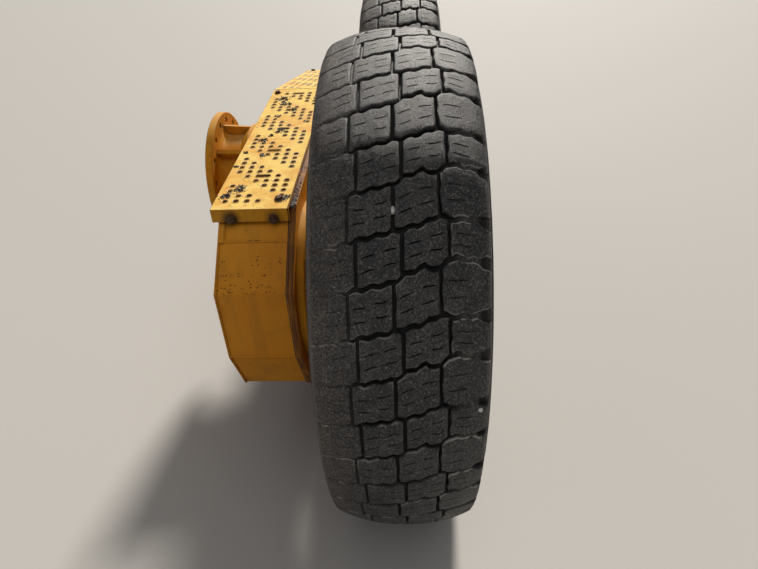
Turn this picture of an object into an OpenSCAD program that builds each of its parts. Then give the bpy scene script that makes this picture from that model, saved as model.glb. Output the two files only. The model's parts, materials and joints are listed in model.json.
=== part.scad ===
/* Tandem drive of a motor grader: a chain case that swings on its axle end and carries two driven wheels.
   X points to the machine's front, Z points up, and the wheels stand on the -Y side of the mounting flange.
   The origin is the centre of the flange face, on the axis that the case swings about. */

/* [Chain case] */
// Distance between the two wheel axles
wheel_spacing = 1522; // [1460:2:1700]
// Height of the pivot above the wheel axles
axle_drop = 55; // [35:1:70]
// Width of the case over both side plates
case_w = 206; // [190:1:240]
// Thickness of the inner side plate
inner_wall_t = 16; // [12:1:20]
// Thickness of the outer side plate
outer_wall_t = 18; // [12:1:22]
// Thickness of the folded top, bottom and nose plates
band_t = 12; // [8:1:16]
// How far the side plates stand proud of the folded plates
wall_lip = 4; // [2:0.5:6]
// Depth of the case bottom below the wheel axles
case_bottom = 252; // [240:1:290]
// Reach of the nose past the wheel axle at its widest
nose_reach = 254; // [240:1:275]
// Height of the nose plate's upper weld above the wheel axles
nose_seam_z = 211; // [190:1:220]
// Width of the inner side plate's edge that the nose plate leaves bare
nose_bare = 3.5; // [2:0.5:8]

/* [Walkway] */
// Height of the walkway's ridge above the wheel axles
ridge_z = 384; // [370:1:410]
// How far ahead of the pivot the two plates meet
ridge_x = 38; // [0:1:45]
// Height of the walkway's ends above the wheel axles
walk_end_z = 291; // [285:1:300]
// Reach of the walkway past the wheel axle
walk_reach = 122; // [118:1:140]
// Thickness of the walkway plate
walk_t = 6; // [4:0.5:8]
// Width of the walkway plate
walk_w = 206; // [190:1:230]
// Overhang of the walkway over the inner side plate
walk_overhang = 14; // [4:1:20]
// Depth of the bent lip at each end
lip_h = 36; // [20:1:36]
// Height of the bars under the walkway
rail_h = 10; // [8:1:14]
// Width of the bars under the walkway
rail_w = 30; // [20:1:40]
// Gap between the two plates at the ridge
ridge_gap = 6; // [4:1:12]
// Radius of a punched hole
punch_r = 7.5; // [5:0.5:10]
// Distance between the punched holes across the plate
punch_across = 29.5; // [26:0.5:32]
// Distance between the rows of punched holes along the plate
punch_along = 28.5; // [26:0.5:32]
// Distance from the plate's ends to the first and the last row
punch_margin = 43; // [30:1:60]

/* [Axle end] */
// Distance from the flange face to the case
axle_len = 260; // [245:1:320]
// Radius of the mounting flange
flange_r = 250; // [240:1:280]
// Thickness of the mounting flange
flange_t = 28; // [20:1:40]
// Radius of the circle of mounting bolts
bolt_circle_r = 220; // [215:1:228]
// Radius of a mounting bolt hole
bolt_hole_r = 11; // [9:0.5:13]
// Number of mounting bolts
bolt_count = 16; // [12:2:20]
// Radius of the drive shaft socket
socket_r = 45; // [35:1:60]
// Depth of the drive shaft socket
socket_len = 120; // [80:5:140]
// Radius of the sleeve that the case swings on
trunnion_r = 150; // [130:1:160]
// Outer radius of the bearing collar
collar_r = 195; // [180:1:205]
// Length of the bearing collar on the inner side of the case
collar_len = 80; // [60:1:100]

/* [Wheels] */
// Outer radius of the tyre at its blocks
tyre_r = 685; // [660:1:720]
// Width of the tyre at its sidewalls
tyre_w = 375; // [350:1:400]
// Width of the tread
tread_w = 342; // [315:1:350]
// Radius of the bead seat
bead_r = 305; // [295:1:315]
// Width of the rim between its flanges
rim_w = 254; // [228:1:270]
// Distance from the case to the middle of the tyre
wheel_offset = 274; // [260:1:300]
// Length of the brake housing
brake_len = 172; // [150:1:190]
// Radius of the brake housing's barrel
brake_r = 214; // [200:1:225]
// Radius of the wheel shaft
shaft_r = 62; // [50:1:70]
// Radius of the circle of wheel studs
stud_circle_r = 167.5; // [160:0.5:175]
// Number of wheel studs
stud_count = 10; // [8:1:12]

/* [Tread] */
// Depth of the worn tread grooves
tread_d = 14; // [10:1:22]
// Number of block pitches round the tyre
pitch_count = 48; // [40:2:56]
// Turn of the block pattern round the wheel
tread_turn = 5.75; // [0:0.25:15]
// Width of the three lengthways grooves
groove_w = 8; // [6:0.5:12]
// Distance between the lengthways grooves
groove_row = 84; // [76:1:90]
// Sideways step of the lengthways grooves from block to block
groove_step = 16; // [10:1:20]
// Width of the cross grooves
cross_w = 7; // [5:0.5:10]

/* [Hidden] */

$fn = 96;
tyre_fn = 144;
small_fn = 24;
hex = 6;
yellow = "goldenrod";
rubber = "dimgray";
steel = "silver";

running_fit = 0.05;   // radial clearance of a shaft in its bearing
turning_gap = 5;      // clearance between faces that pass each other
past = 1;             // how far a cutter runs past the face that it opens
bite = 1;             // how far a boss reaches into the body that it grows from

// Lengths along the wheel axes, measured outboard from the flange face
case_in = axle_len;
case_out = axle_len + case_w;
band_in = case_in + inner_wall_t;
band_out = case_out - outer_wall_t;
tyre_mid = case_out + wheel_offset;

// Heights, measured from the pivot
half_spacing = wheel_spacing / 2;
walk_top = ridge_z - axle_drop;
case_top = walk_top - walk_t - rail_h;
REAR = -1;
FRONT = 1;

// Turns a form drawn with X forward and Y up so that it stands outboard of the flange by d
module outboard(d = 0) {
    rotate([90, 0, 0]) translate([0, 0, d]) children();
}

module at_wheel(end, d = 0) {
    outboard(d) translate([end * half_spacing, -axle_drop, 0]) children();
}

module on_circle(r, count, turn = 0.5) {
    for (i = [0 : count - 1])
        rotate((i + turn) * 360 / count) translate([r, 0, 0]) children();
}

module bolt_holes(circle_r, hole_r, count, depth) {
    on_circle(circle_r, count) translate([0, 0, -past])
        cylinder(r = hole_r, h = depth + 2 * past, $fn = small_fn);
}

module bolt_heads(circle_r, head_r, count, h) {
    on_circle(circle_r, count) cylinder(r = head_r, h = h, $fn = hex);
}

function reversed(list) = [for (i = [len(list) - 1 : -1 : 0]) list[i]];

function arc(centre, r, from, to, steps) = [
    for (i = [0 : steps])
        let (a = from + (to - from) * i / steps)
        centre + r * [cos(a), sin(a)]
];

// Outline of the case, with X from the pivot and Y up from it
nose_top_reach = 80;
nose_upper_y = 112;
nose_lower_y = -92;
nose_bottom_reach = 182;
nose_wrap = 100;   // where the nose plate ends under the case, past the wheel axle

// Both take the distance x from the pivot towards that end
function walk_slope(end) = (ridge_z - walk_end_z) / (half_spacing + walk_reach - end * ridge_x);
function walk_top_at(end, x) = walk_top - walk_slope(end) * (x - end * ridge_x);
function case_top_at(end, x) = walk_top_at(end, x) - walk_t - rail_h;

function nose_points(end) = [
    [end * (half_spacing + nose_top_reach), case_top_at(end, half_spacing + nose_top_reach)],
    [end * (half_spacing + nose_reach), nose_upper_y - axle_drop],
    [end * (half_spacing + nose_reach), nose_lower_y - axle_drop],
    [end * (half_spacing + nose_bottom_reach), -case_bottom - axle_drop]
];

// The outline runs clockwise, seen from outboard: ridge, front nose, bottom, rear nose
case_outline = concat([[ridge_x, case_top]], nose_points(FRONT), reversed(nose_points(REAR)));

function edge_normal(a, b) = let (d = b - a) [-d[1], d[0]] / norm(d);

// Moves each edge of a clockwise outline outward by grow
function grown(points, grow) = [
    for (i = [0 : len(points) - 1])
        let (
            before = points[(i + len(points) - 1) % len(points)],
            here = points[i],
            after = points[(i + 1) % len(points)],
            n1 = edge_normal(before, here),
            n2 = edge_normal(here, after)
        )
        here + grow * (n1 + n2) / (1 + n1 * n2)
];

module case_plate(t, grow) {
    linear_extrude(t) polygon(grown(case_outline, grow));
}

module case_ring(from, to, grow) {
    translate([0, 0, from]) difference() {
        case_plate(to - from, grow);
        translate([0, 0, -past]) case_plate(to - from + 2 * past, -band_t);
    }
}

// The part of a ring that lies on the two noses below their upper welds
module on_noses(from, to, grow) {
    bottom = case_bottom + axle_drop + nose_wrap;
    x_middle = half_spacing + nose_wrap + nose_reach / 2;
    intersection() {
        case_ring(from, to, grow);
        for (end = [REAR, FRONT])
            translate([end * x_middle - nose_reach / 2, -bottom, from - past])
                cube([nose_reach, bottom + nose_seam_z - axle_drop, to - from + 2 * past]);
    }
}

// Axle end

collar_in = case_in - collar_len;
collar_inside = 14;   // how far the collar stands inside the case
collar_out = band_in + collar_inside;
neck_r = 168;
neck_fillet = 32;
shoulder_r = collar_r + 5;
shoulder_w = 35;
shoulder_edge = 3;
housing_rib_count = 8;
housing_rib_t = 16;
housing_rib_r = 205;
rib_root = 18;

module axle_housing() {
    shoulder_out = collar_in - turning_gap;
    shoulder_in = shoulder_out - shoulder_w;
    color(yellow) outboard() difference() {
        union() {
            rotate_extrude() polygon(concat(
                [[0, 0], [flange_r - shoulder_edge, 0], [flange_r, shoulder_edge],
                 [flange_r, flange_t - shoulder_edge], [flange_r - shoulder_edge, flange_t]],
                arc([neck_r + neck_fillet, flange_t + neck_fillet], neck_fillet, 270, 180, 4),
                [[neck_r, shoulder_in - (shoulder_r - neck_r)], [shoulder_r, shoulder_in],
                 [shoulder_r, shoulder_out - shoulder_edge], [shoulder_r - shoulder_edge, shoulder_out],
                 [0, shoulder_out]]
            ));
            for (i = [0 : housing_rib_count - 1])
                rotate(i * 360 / housing_rib_count)
                    translate([0, housing_rib_t / 2, 0]) rotate([90, 0, 0]) linear_extrude(housing_rib_t)
                        polygon([
                            [neck_r - rib_root, bite], [housing_rib_r, bite], [housing_rib_r, flange_t],
                            [shoulder_r - shoulder_edge, shoulder_in + bite],
                            [neck_r - rib_root, shoulder_in + bite]
                        ]);
        }
        translate([0, 0, -past]) cylinder(r = socket_r, h = socket_len + past);
        bolt_holes(bolt_circle_r, bolt_hole_r, bolt_count, flange_t);
    }
}

module pivot_trunnion() {
    color(steel) outboard(collar_in - turning_gap)
        cylinder(r = trunnion_r, h = collar_out - collar_in + 2 * turning_gap);
}

retainer_t = 18;
retainer_edge = 10;

module pivot_retainer() {
    color(steel) outboard(collar_out + turning_gap)
        cylinder(r = collar_r - retainer_edge, h = retainer_t);
}

// Chain case

// The nose plates lap over the inner side plate's edge
module case_band() {
    color(yellow) outboard() {
        case_ring(band_in, band_out, 0);
        on_noses(case_in + nose_bare, band_in + bite, 0);
    }
}

module inner_wall() {
    color(yellow) outboard() difference() {
        translate([0, 0, case_in]) case_plate(inner_wall_t, wall_lip);
        translate([0, 0, case_in - past]) cylinder(r = collar_r, h = inner_wall_t + 2 * past);
        on_noses(case_in + nose_bare, band_in + past, wall_lip + past);
    }
}

spigot_r = 150;

module outer_wall() {
    color(yellow) difference() {
        outboard(band_out) case_plate(outer_wall_t, wall_lip);
        for (end = [REAR, FRONT])
            at_wheel(end, band_out - past) cylinder(r = spigot_r, h = outer_wall_t + 2 * past);
    }
}

collar_flange_w = 42;
collar_flange_r = collar_r + collar_flange_w;
collar_flange_t = 16;
collar_bolt_r = 10;
collar_bolt_h = 9;
collar_bolt_count = 20;
collar_edge = 4;
collar_fillet = 12;
collar_bolt_gap = 15;   // from the flange's edge to its bolts

module pivot_collar() {
    flange_in = case_in - collar_flange_t;
    bore_r = trunnion_r + running_fit;
    color(yellow) outboard() {
        rotate_extrude() polygon(concat(
            [[bore_r, collar_in], [collar_r - collar_edge, collar_in], [collar_r, collar_in + collar_edge]],
            arc([collar_r + collar_fillet, flange_in - collar_fillet], collar_fillet, 180, 90, 3),
            [[collar_flange_r - collar_edge, flange_in], [collar_flange_r, flange_in + collar_edge],
             [collar_flange_r, case_in], [collar_r, case_in], [collar_r, collar_out], [bore_r, collar_out]]
        ));
        translate([0, 0, flange_in - collar_bolt_h])
            bolt_heads(collar_flange_r - collar_bolt_gap, collar_bolt_r, collar_bolt_count,
                       collar_bolt_h + bite);
    }
}

cover_edge = 3;

// A round cover with a raised middle, a chamfered edge and a ring of bolts
module round_cover(r, t, middle_r, middle_t, head_r, count) {
    edge = cover_edge;
    rotate_extrude() polygon([
        [0, 0], [r, 0], [r, t - edge], [r - edge, t], [middle_r + 2 * edge, t],
        [middle_r, middle_t], [0, middle_t]
    ]);
    translate([0, 0, t - bite]) bolt_heads((r + middle_r) / 2 + edge, head_r, count, head_r);
}

centre_cover_r = 150;
centre_cover_t = 12;
centre_middle_r = 108;
centre_middle_t = 22;
centre_bolt_r = 11;
centre_bolt_count = 12;
sprocket_cover_r = 115;
sprocket_cover_t = 10;
sprocket_middle_r = 78;
sprocket_middle_t = 17;
sprocket_bolt_r = 10;
sprocket_bolt_count = 8;

module centre_cover() {
    color(yellow) outboard(case_out)
        round_cover(centre_cover_r, centre_cover_t, centre_middle_r, centre_middle_t,
                    centre_bolt_r, centre_bolt_count);
}

module sprocket_cover(end) {
    color(yellow) at_wheel(end, case_in) mirror([0, 0, 1])
        round_cover(sprocket_cover_r, sprocket_cover_t, sprocket_middle_r, sprocket_middle_t,
                    sprocket_bolt_r, sprocket_bolt_count);
}

// Wheel hub side of the case

brake_flange = 26;
brake_flange_t = 22;
brake_bolt_r = 9;
brake_bolt_count = 20;
brake_bolt_gap = 4;   // from the flange's edge to its bolts
brake_chamfer = 12;
brake_cone = 32;
brake_nose_r = 110;
brake_neck_r = 142;
nose_len = 15;
brake_rib_count = 10;
brake_rib_w = 30;
brake_rib_h = 6;
brake_band_w = 18;
brake_band_h = 8;
brake_fillet = 3;
brake_edge = 3;
brake_root = 2;
brake_band_slope = 4;

module brake_housing(end) {
    flange_r = brake_r + brake_flange;
    rib_from = brake_flange_t - bite;
    band_to = brake_len - brake_cone - brake_chamfer;
    rib_to = band_to - brake_band_w / 2;
    color(yellow) at_wheel(end, case_out) difference() {
        union() {
            rotate_extrude() polygon(concat(
                [[0, -outer_wall_t], [spigot_r, -outer_wall_t], [spigot_r, 0], [flange_r, 0],
                 [flange_r, brake_flange_t - brake_edge], [flange_r - brake_edge, brake_flange_t]],
                arc([brake_r + brake_fillet, brake_flange_t + brake_fillet], brake_fillet, 270, 180, 2),
                [[brake_r, band_to], [brake_r - brake_chamfer, brake_len - brake_cone],
                 [brake_neck_r, brake_len], [brake_nose_r, brake_len],
                 [brake_nose_r, brake_len + nose_len], [0, brake_len + nose_len]]
            ));
            for (i = [0 : brake_rib_count - 1])
                rotate(i * 360 / brake_rib_count)
                    translate([brake_r - brake_rib_w / 2, -brake_rib_w / 2, rib_from])
                        cube([brake_rib_w / 2 + brake_rib_h, brake_rib_w, rib_to - rib_from]);
            translate([0, 0, band_to - brake_band_w]) rotate_extrude() polygon([
                [brake_r - brake_root, 0], [brake_r + brake_band_h, 0],
                [brake_r + brake_band_h, brake_band_w - brake_band_slope],
                [brake_r - brake_root, brake_band_w]
            ]);
            translate([0, 0, brake_flange_t - bite])
                bolt_heads(flange_r - brake_bolt_r - brake_bolt_gap, brake_bolt_r, brake_bolt_count,
                           brake_bolt_r + bite);
        }
        translate([0, 0, -outer_wall_t - past])
            cylinder(r = shaft_r + running_fit, h = brake_len + nose_len + outer_wall_t + 2 * past);
    }
}

// Walkway plates

punch_columns = 6;
punch_cycle = 6;   // the diagonal bands repeat after this many rows
punch_run = 4;     // rows of holes in each band
slot_row = 5;      // the row of each cycle whose two middle holes are joined by a slot
slot_from = 2;     // the column that the slot starts at

// Holes of one plate, with X from its end towards the ridge and Y across it
module punched_holes(plate_len) {
    last_row = round((plate_len - 2 * punch_margin) / punch_along);
    for (row = [0 : last_row], column = [0 : punch_columns - 1]) {
        slotted = row % punch_cycle == slot_row && (column == slot_from || column == slot_from + 1);
        across = (column - (punch_columns - 1) / 2) * punch_across;
        if ((row + column) % punch_cycle < punch_run)
            translate([punch_margin + row * punch_along, across])
                circle(r = punch_r, $fn = small_fn);
        if (slotted && column == slot_from)
            translate([punch_margin + row * punch_along, across + punch_across / 2])
                square([2 * punch_r, punch_across], center = true);
    }
}

// The front plate is the rear one turned about, so its bands slant the same way
module walkway(end) {
    x_end = half_spacing + walk_reach;
    x_ridge = end * ridge_x + ridge_gap / 2;
    top_end = walk_top_at(end, x_end);
    slope_angle = atan(walk_slope(end));
    plate_len = (x_end - x_ridge) / cos(slope_angle);
    edge_in = case_in - walk_overhang;
    color(yellow) mirror([end == FRONT ? 1 : 0, 0, 0]) difference() {
        outboard(edge_in) linear_extrude(walk_w) polygon([
            [-x_ridge, walk_top_at(end, x_ridge)],
            [-x_end, top_end],
            [-x_end, top_end - lip_h],
            [-x_end + walk_t, top_end - lip_h],
            [-x_end + walk_t, walk_top_at(end, x_end - walk_t) - walk_t],
            [-x_ridge, walk_top_at(end, x_ridge) - walk_t]
        ]);
        translate([-x_end, -edge_in - walk_w / 2, top_end]) rotate([0, -slope_angle, 0])
            mirror([0, end == FRONT ? 0 : 1, 0]) translate([0, 0, -2 * walk_t])
                linear_extrude(3 * walk_t) punched_holes(plate_len);
    }
}

rail_inset = 2;
rail_ridge_gap = 10;
rail_end_gap = 5;

module walkway_rails(end) {
    x_ridge = end * ridge_x + rail_ridge_gap;
    x_end = half_spacing + nose_top_reach - rail_end_gap;
    color(yellow) for (d = [band_in + rail_inset, band_out - rail_inset - rail_w])
        outboard(d) linear_extrude(rail_w) polygon([
            for (p = [[x_ridge, 0], [x_ridge, rail_h], [x_end, rail_h], [x_end, 0]])
                [end * p[0], case_top_at(end, p[0]) + p[1]]
        ]);
}

// Plugs on the outer wall. Columns: distance forward from the pivot, height over it, head radius
plugs = [
    [-330, 60, 22],
    [330, -60, 16],
    [-420, -247, 16],
    [420, -247, 16]
];
plug_h = 12;
plug_boss_h = 5;
plug_boss = 1.3;   // radius of the boss for each unit of the head's radius

module case_plugs() {
    color(steel) for (plug = plugs)
        outboard(case_out) translate([plug[0], plug[1], 0]) {
            cylinder(r = plug[2] * plug_boss, h = plug_boss_h);
            cylinder(r = plug[2], h = plug_boss_h + plug_h, $fn = hex);
        }
}

breather_at = [260, 150];
breather_r = 20;
breather_h = 18;
breather_stem_r = 10;
breather_stem_h = 40;

module breather() {
    color(steel) outboard(case_in - breather_stem_h) translate(breather_at) {
        cylinder(r = breather_stem_r, h = breather_stem_h, $fn = small_fn);
        cylinder(r = breather_r, h = breather_h, $fn = small_fn);
    }
}

// Values of the rim that the tyre's bead sits on
rim_t = 8;
flange_h = 23;
flange_w = 12;
gutter_w = 24;
gutter_d = 4;
side_ring_w = 11;
lock_ring_w = 10;
rim_edge = 3;
lip_r = 6;

// Tyres

shoulder_drop = 36;
crown_power = 2.2;
bulge_r = 505;
sidewall_t = 26;
crown_t = 40;
low_angle = -65;
high_angle = 50;
side_steps = 10;
bead_gap = 3;
side_above_bead = 2;     // how much wider than the rim the sidewall starts
side_under_tread = 30;   // how far below the tread's edge the sidewall ends
bead_t = 32;             // width of each bead
bead_h = 40;             // height over which the bead narrows to the sidewall
shoulder_t = 34;         // thickness of the tyre's wall under the tread's edges
shoulder_depth = 90;     // distance of the cavity's corner below the blocks
cutter_h = 10;           // how far the groove cutters reach past the blocks

function crown(across, sink = 0) =
    tyre_r - sink - shoulder_drop * pow(min(1, abs(across) / (tread_w / 2)), crown_power);

// Where the tread's profile bends, from its edge to its middle
crown_bends = [tread_w / 2, tread_w * 0.4, groove_row - groove_step];

// Half of the tyre's outer profile, from the bead to the crown, as [radius, half width]
tyre_side = concat(
    [[bead_r, rim_w / 2], [bead_r + flange_h + bead_gap, rim_w / 2]],
    [for (i = [0 : side_steps])
        let (
            a = low_angle + (high_angle - low_angle) * i / side_steps,
            end_angle = a < 0 ? low_angle : high_angle,
            end_r = a < 0 ? bead_r + flange_h + 2 * bead_gap : tyre_r - shoulder_drop - side_under_tread,
            end_half = a < 0 ? rim_w / 2 + side_above_bead : tread_w / 2 + 1
        )
        [bulge_r + (end_r - bulge_r) * sin(a) / sin(end_angle),
         tyre_w / 2 - (tyre_w / 2 - end_half) * (1 - cos(a)) / (1 - cos(end_angle))]],
    [for (across = crown_bends) [crown(across), across]]
);

function both_sides(side) = concat(side, [for (p = reversed(side)) [p[0], -p[1]]]);

module carcass() {
    difference() {
        rotate_extrude($fn = tyre_fn) polygon(both_sides(tyre_side));
        rotate_extrude($fn = tyre_fn) polygon(both_sides([
            [bead_r - past, rim_w / 2 - bead_t], [bead_r + bead_h, rim_w / 2 - bead_t],
            [bulge_r, tyre_w / 2 - sidewall_t], [tyre_r - shoulder_depth, tyre_w / 2 - shoulder_t],
            [tyre_r - crown_t - tread_d, tread_w / 4]
        ]));
    }
}

// The two cross grooves that alternate round the tread.
// Columns: distance outboard from the tyre's middle in block rows, advance over the top towards the front
cross_paths = [
    [[-2.3, -42], [-1, -22], [0, -3], [0.52, 8], [0.9, 24], [1.1, 20], [2.3, 15]],
    [[-2.3, -42], [-1, -22], [-0.1, -6], [0.15, 8], [0.57, 22], [0.9, 16], [1.07, 38], [2.3, 24]]
];
pitch_angle = 360 / pitch_count;

function cross_path(i) = [for (p = cross_paths[i % 2]) [p[0] * groove_row, p[1]]];
function cross_angle(i, across) = i * pitch_angle - lookup(across, cross_path(i)) * 180 / (PI * tyre_r);
function widened(path, w) = concat(
    [for (p = path) [w / 2 - p[1], p[0]]],
    [for (p = reversed(path)) [-w / 2 - p[1], p[0]]]
);

module cross_grooves() {
    floor_r = tyre_r - shoulder_drop - tread_d;
    difference() {
        for (i = [0 : pitch_count - 1])
            rotate(i * pitch_angle) translate([floor_r - cutter_h, 0, 0]) rotate([90, 0, 90])
                linear_extrude(tyre_r - floor_r + 2 * cutter_h) polygon(widened(cross_path(i), cross_w));
        rotate_extrude($fn = tyre_fn) polygon(both_sides(concat(
            [[floor_r - 3 * cutter_h, tyre_w], [floor_r, tyre_w]],
            [for (across = crown_bends) [crown(across, tread_d), across]]
        )));
    }
}

// Each lengthways groove runs in short straights that step sideways at the cross grooves
module lengthways_grooves() {
    for (i = [0 : pitch_count - 1], row = [-1 : 1]) {
        across = row * groove_row;
        from = cross_angle(i, across);
        to = cross_angle(i + 1, across);
        side = (i % 2 == 0 ? 1 : -1) * groove_step / 2;
        rotate(from) rotate_extrude(angle = to - from, $fn = tyre_fn)
            translate([crown(across) - tread_d, across + side - groove_w / 2])
                square([tread_d + cutter_h, groove_w]);
    }
}

module tyre(end) {
    color(rubber) at_wheel(end, tyre_mid) difference() {
        carcass();
        rotate(tread_turn) {
            cross_grooves();
            lengthways_grooves();
        }
    }
}

// Rims, in lengths from the tyre's middle

module rim(end) {
    seat = rim_w / 2;
    color(yellow) at_wheel(end, tyre_mid) rotate_extrude() polygon(concat(
        [[bead_r - rim_t, -seat - flange_w + rim_edge], [bead_r - rim_t + rim_edge, -seat - flange_w]],
        arc([bead_r + flange_h - lip_r, -seat - flange_w + lip_r], lip_r, -90, 90, 4),
        [[bead_r, -seat], [bead_r, seat + side_ring_w],
         [bead_r - gutter_d, seat + flange_w], [bead_r - gutter_d, seat + gutter_w],
         [bead_r - rim_t, seat + gutter_w]]
    ));
}

module side_ring(end) {
    color(yellow) at_wheel(end, tyre_mid + rim_w / 2) rotate_extrude() polygon(concat(
        [[bead_r, 0]],
        arc([bead_r + flange_h - side_ring_w / 2, side_ring_w / 2], side_ring_w / 2, -90, 90, 4),
        [[bead_r, side_ring_w]]
    ));
}

module lock_ring(end) {
    color(yellow) at_wheel(end, tyre_mid + rim_w / 2 + flange_w) rotate_extrude() polygon(concat(
        [[bead_r - gutter_d, 0]],
        arc([bead_r + gutter_d, lock_ring_w / 2], lock_ring_w / 2, -90, 90, 4),
        [[bead_r - gutter_d, lock_ring_w]]
    ));
}

disc_t = 16;
disc_in = -36;
disc_out = 30;
disc_flat_r = 215;
pilot_r = 140;
pilot_gap = 1;
disc_edge = 2;
disc_bend = 20;      // width over which the flat middle bends into the cone
disc_bend_h = 7;
disc_foot = 10;      // rise of the disc's foot along the rim

module wheel_disc(end) {
    disc_r = bead_r - rim_t;
    color(yellow) at_wheel(end, tyre_mid) rotate_extrude() polygon([
        [pilot_r + pilot_gap, disc_in], [disc_flat_r, disc_in],
        [disc_flat_r + disc_bend, disc_in + disc_bend_h],
        [disc_r - disc_foot, disc_out - disc_foot], [disc_r, disc_out],
        [disc_r, disc_out + disc_t], [disc_r - disc_foot - rim_edge, disc_out + disc_t - disc_foot],
        [disc_flat_r + disc_bend / 2, disc_in + disc_t + disc_bend_h],
        [disc_flat_r - rim_edge, disc_in + disc_t],
        [pilot_r + pilot_gap + disc_edge, disc_in + disc_t],
        [pilot_r + pilot_gap, disc_in + disc_t - disc_edge]
    ]);
}

hub_flange_r = 205;
hub_flange_t = 25;
pilot_len = 45;
hub_edge = 5;
shaft_inset = 60;   // how far the shaft reaches into the case

module wheel_axle(end) {
    shaft_len = tyre_mid + disc_in - case_in - shaft_inset;
    color(yellow) at_wheel(end, tyre_mid + disc_in) rotate_extrude() polygon([
        [0, -shaft_len], [shaft_r, -shaft_len], [shaft_r, -hub_flange_t],
        [hub_flange_r - hub_edge, -hub_flange_t], [hub_flange_r, -hub_flange_t + hub_edge],
        [hub_flange_r, 0], [pilot_r, 0], [pilot_r, pilot_len - hub_edge],
        [pilot_r - hub_edge, pilot_len], [0, pilot_len]
    ]);
}

cap_r = 108;
cap_h = 26;
cap_rim_h = 14;
cap_bolt_r = 8;
cap_bolt_count = 8;
cap_edge = 3;
cap_step = 26;       // width of the cap's flat rim

module hub_cap(end) {
    dome_h = cap_h - cap_rim_h;
    color(yellow) at_wheel(end, tyre_mid + disc_in + pilot_len) {
        rotate_extrude() polygon(concat(
            [[0, 0], [cap_r, 0], [cap_r, cap_rim_h - cap_edge], [cap_r - cap_edge, cap_rim_h]],
            arc([cap_r - cap_step - dome_h, cap_rim_h], dome_h, 0, 90, 3),
            [[0, cap_h]]
        ));
        translate([0, 0, cap_rim_h - bite])
            bolt_heads(cap_r - cap_step / 2, cap_bolt_r, cap_bolt_count, cap_bolt_r);
    }
}

nut_r = 18.5;
nut_h = 22;
stud_r = 11;
stud_h = 34;

module wheel_nuts(end) {
    color(steel) at_wheel(end, tyre_mid + disc_in + disc_t)
        on_circle(stud_circle_r, stud_count, 0) {
            cylinder(r = nut_r, h = nut_h, $fn = hex);
            cylinder(r = stud_r, h = stud_h, $fn = small_fn);
        }
}

valve_angle = 60;
valve_r = 5;
valve_len = 60;
valve_nut_r = 7;
valve_gap = 14;
valve_start = 37;   // distance from the rim's open edge

module valve_stem(end) {
    color(steel) at_wheel(end, tyre_mid + rim_w / 2 - valve_start) rotate(valve_angle)
        translate([bead_r - rim_t - valve_gap, 0, 0]) {
            cylinder(r = valve_r, h = valve_len, $fn = small_fn);
            rotate([0, 90, 0]) cylinder(r = valve_nut_r, h = valve_gap, $fn = small_fn);
        }
}

axle_housing();
pivot_trunnion();
pivot_retainer();
case_band();
inner_wall();
outer_wall();
pivot_collar();
centre_cover();
sprocket_cover(REAR);  // rear_sprocket_cover
sprocket_cover(FRONT);  // front_sprocket_cover
brake_housing(REAR);  // rear_brake_housing
brake_housing(FRONT);  // front_brake_housing
walkway(REAR);  // rear_walkway
walkway(FRONT);  // front_walkway
walkway_rails(REAR);  // rear_walkway_rails
walkway_rails(FRONT);  // front_walkway_rails
case_plugs();
breather();
tyre(REAR);  // rear_tyre
rim(REAR);  // rear_rim
side_ring(REAR);  // rear_side_ring
lock_ring(REAR);  // rear_lock_ring
wheel_disc(REAR);  // rear_wheel_disc
wheel_axle(REAR);  // rear_wheel_axle
hub_cap(REAR);  // rear_hub_cap
wheel_nuts(REAR);  // rear_wheel_nuts
valve_stem(REAR);  // rear_valve_stem
tyre(FRONT);  // front_tyre
rim(FRONT);  // front_rim
side_ring(FRONT);  // front_side_ring
lock_ring(FRONT);  // front_lock_ring
wheel_disc(FRONT);  // front_wheel_disc
wheel_axle(FRONT);  // front_wheel_axle
hub_cap(FRONT);  // front_hub_cap
wheel_nuts(FRONT);  // front_wheel_nuts
valve_stem(FRONT);  // front_valve_stem
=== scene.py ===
import json
import math
import random

import bmesh
import bpy
from mathutils import Matrix, Vector
from mathutils.geometry import delaunay_2d_cdt


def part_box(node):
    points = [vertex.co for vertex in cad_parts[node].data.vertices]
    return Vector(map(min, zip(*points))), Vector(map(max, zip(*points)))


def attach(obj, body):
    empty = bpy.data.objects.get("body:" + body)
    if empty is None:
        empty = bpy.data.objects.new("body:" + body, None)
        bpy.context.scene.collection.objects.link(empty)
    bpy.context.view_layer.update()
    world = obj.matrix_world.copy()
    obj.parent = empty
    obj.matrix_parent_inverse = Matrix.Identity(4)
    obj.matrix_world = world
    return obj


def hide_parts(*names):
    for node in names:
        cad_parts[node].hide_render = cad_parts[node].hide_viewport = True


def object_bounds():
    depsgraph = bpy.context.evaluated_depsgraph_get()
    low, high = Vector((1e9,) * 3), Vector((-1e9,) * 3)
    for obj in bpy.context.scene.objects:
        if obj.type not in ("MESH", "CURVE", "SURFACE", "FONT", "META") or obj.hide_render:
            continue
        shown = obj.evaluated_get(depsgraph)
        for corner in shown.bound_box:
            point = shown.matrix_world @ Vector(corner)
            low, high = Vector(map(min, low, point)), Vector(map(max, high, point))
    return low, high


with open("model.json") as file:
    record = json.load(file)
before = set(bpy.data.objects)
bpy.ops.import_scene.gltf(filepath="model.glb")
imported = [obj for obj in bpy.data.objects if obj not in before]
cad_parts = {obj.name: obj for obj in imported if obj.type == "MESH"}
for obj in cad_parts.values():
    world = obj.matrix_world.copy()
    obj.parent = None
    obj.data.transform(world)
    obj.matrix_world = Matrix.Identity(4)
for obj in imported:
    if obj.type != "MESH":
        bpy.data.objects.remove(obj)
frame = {"nodes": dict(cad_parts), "record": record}
cadBox = [list(corner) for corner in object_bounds()]
mm = 0.001
print("frame loaded")


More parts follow.
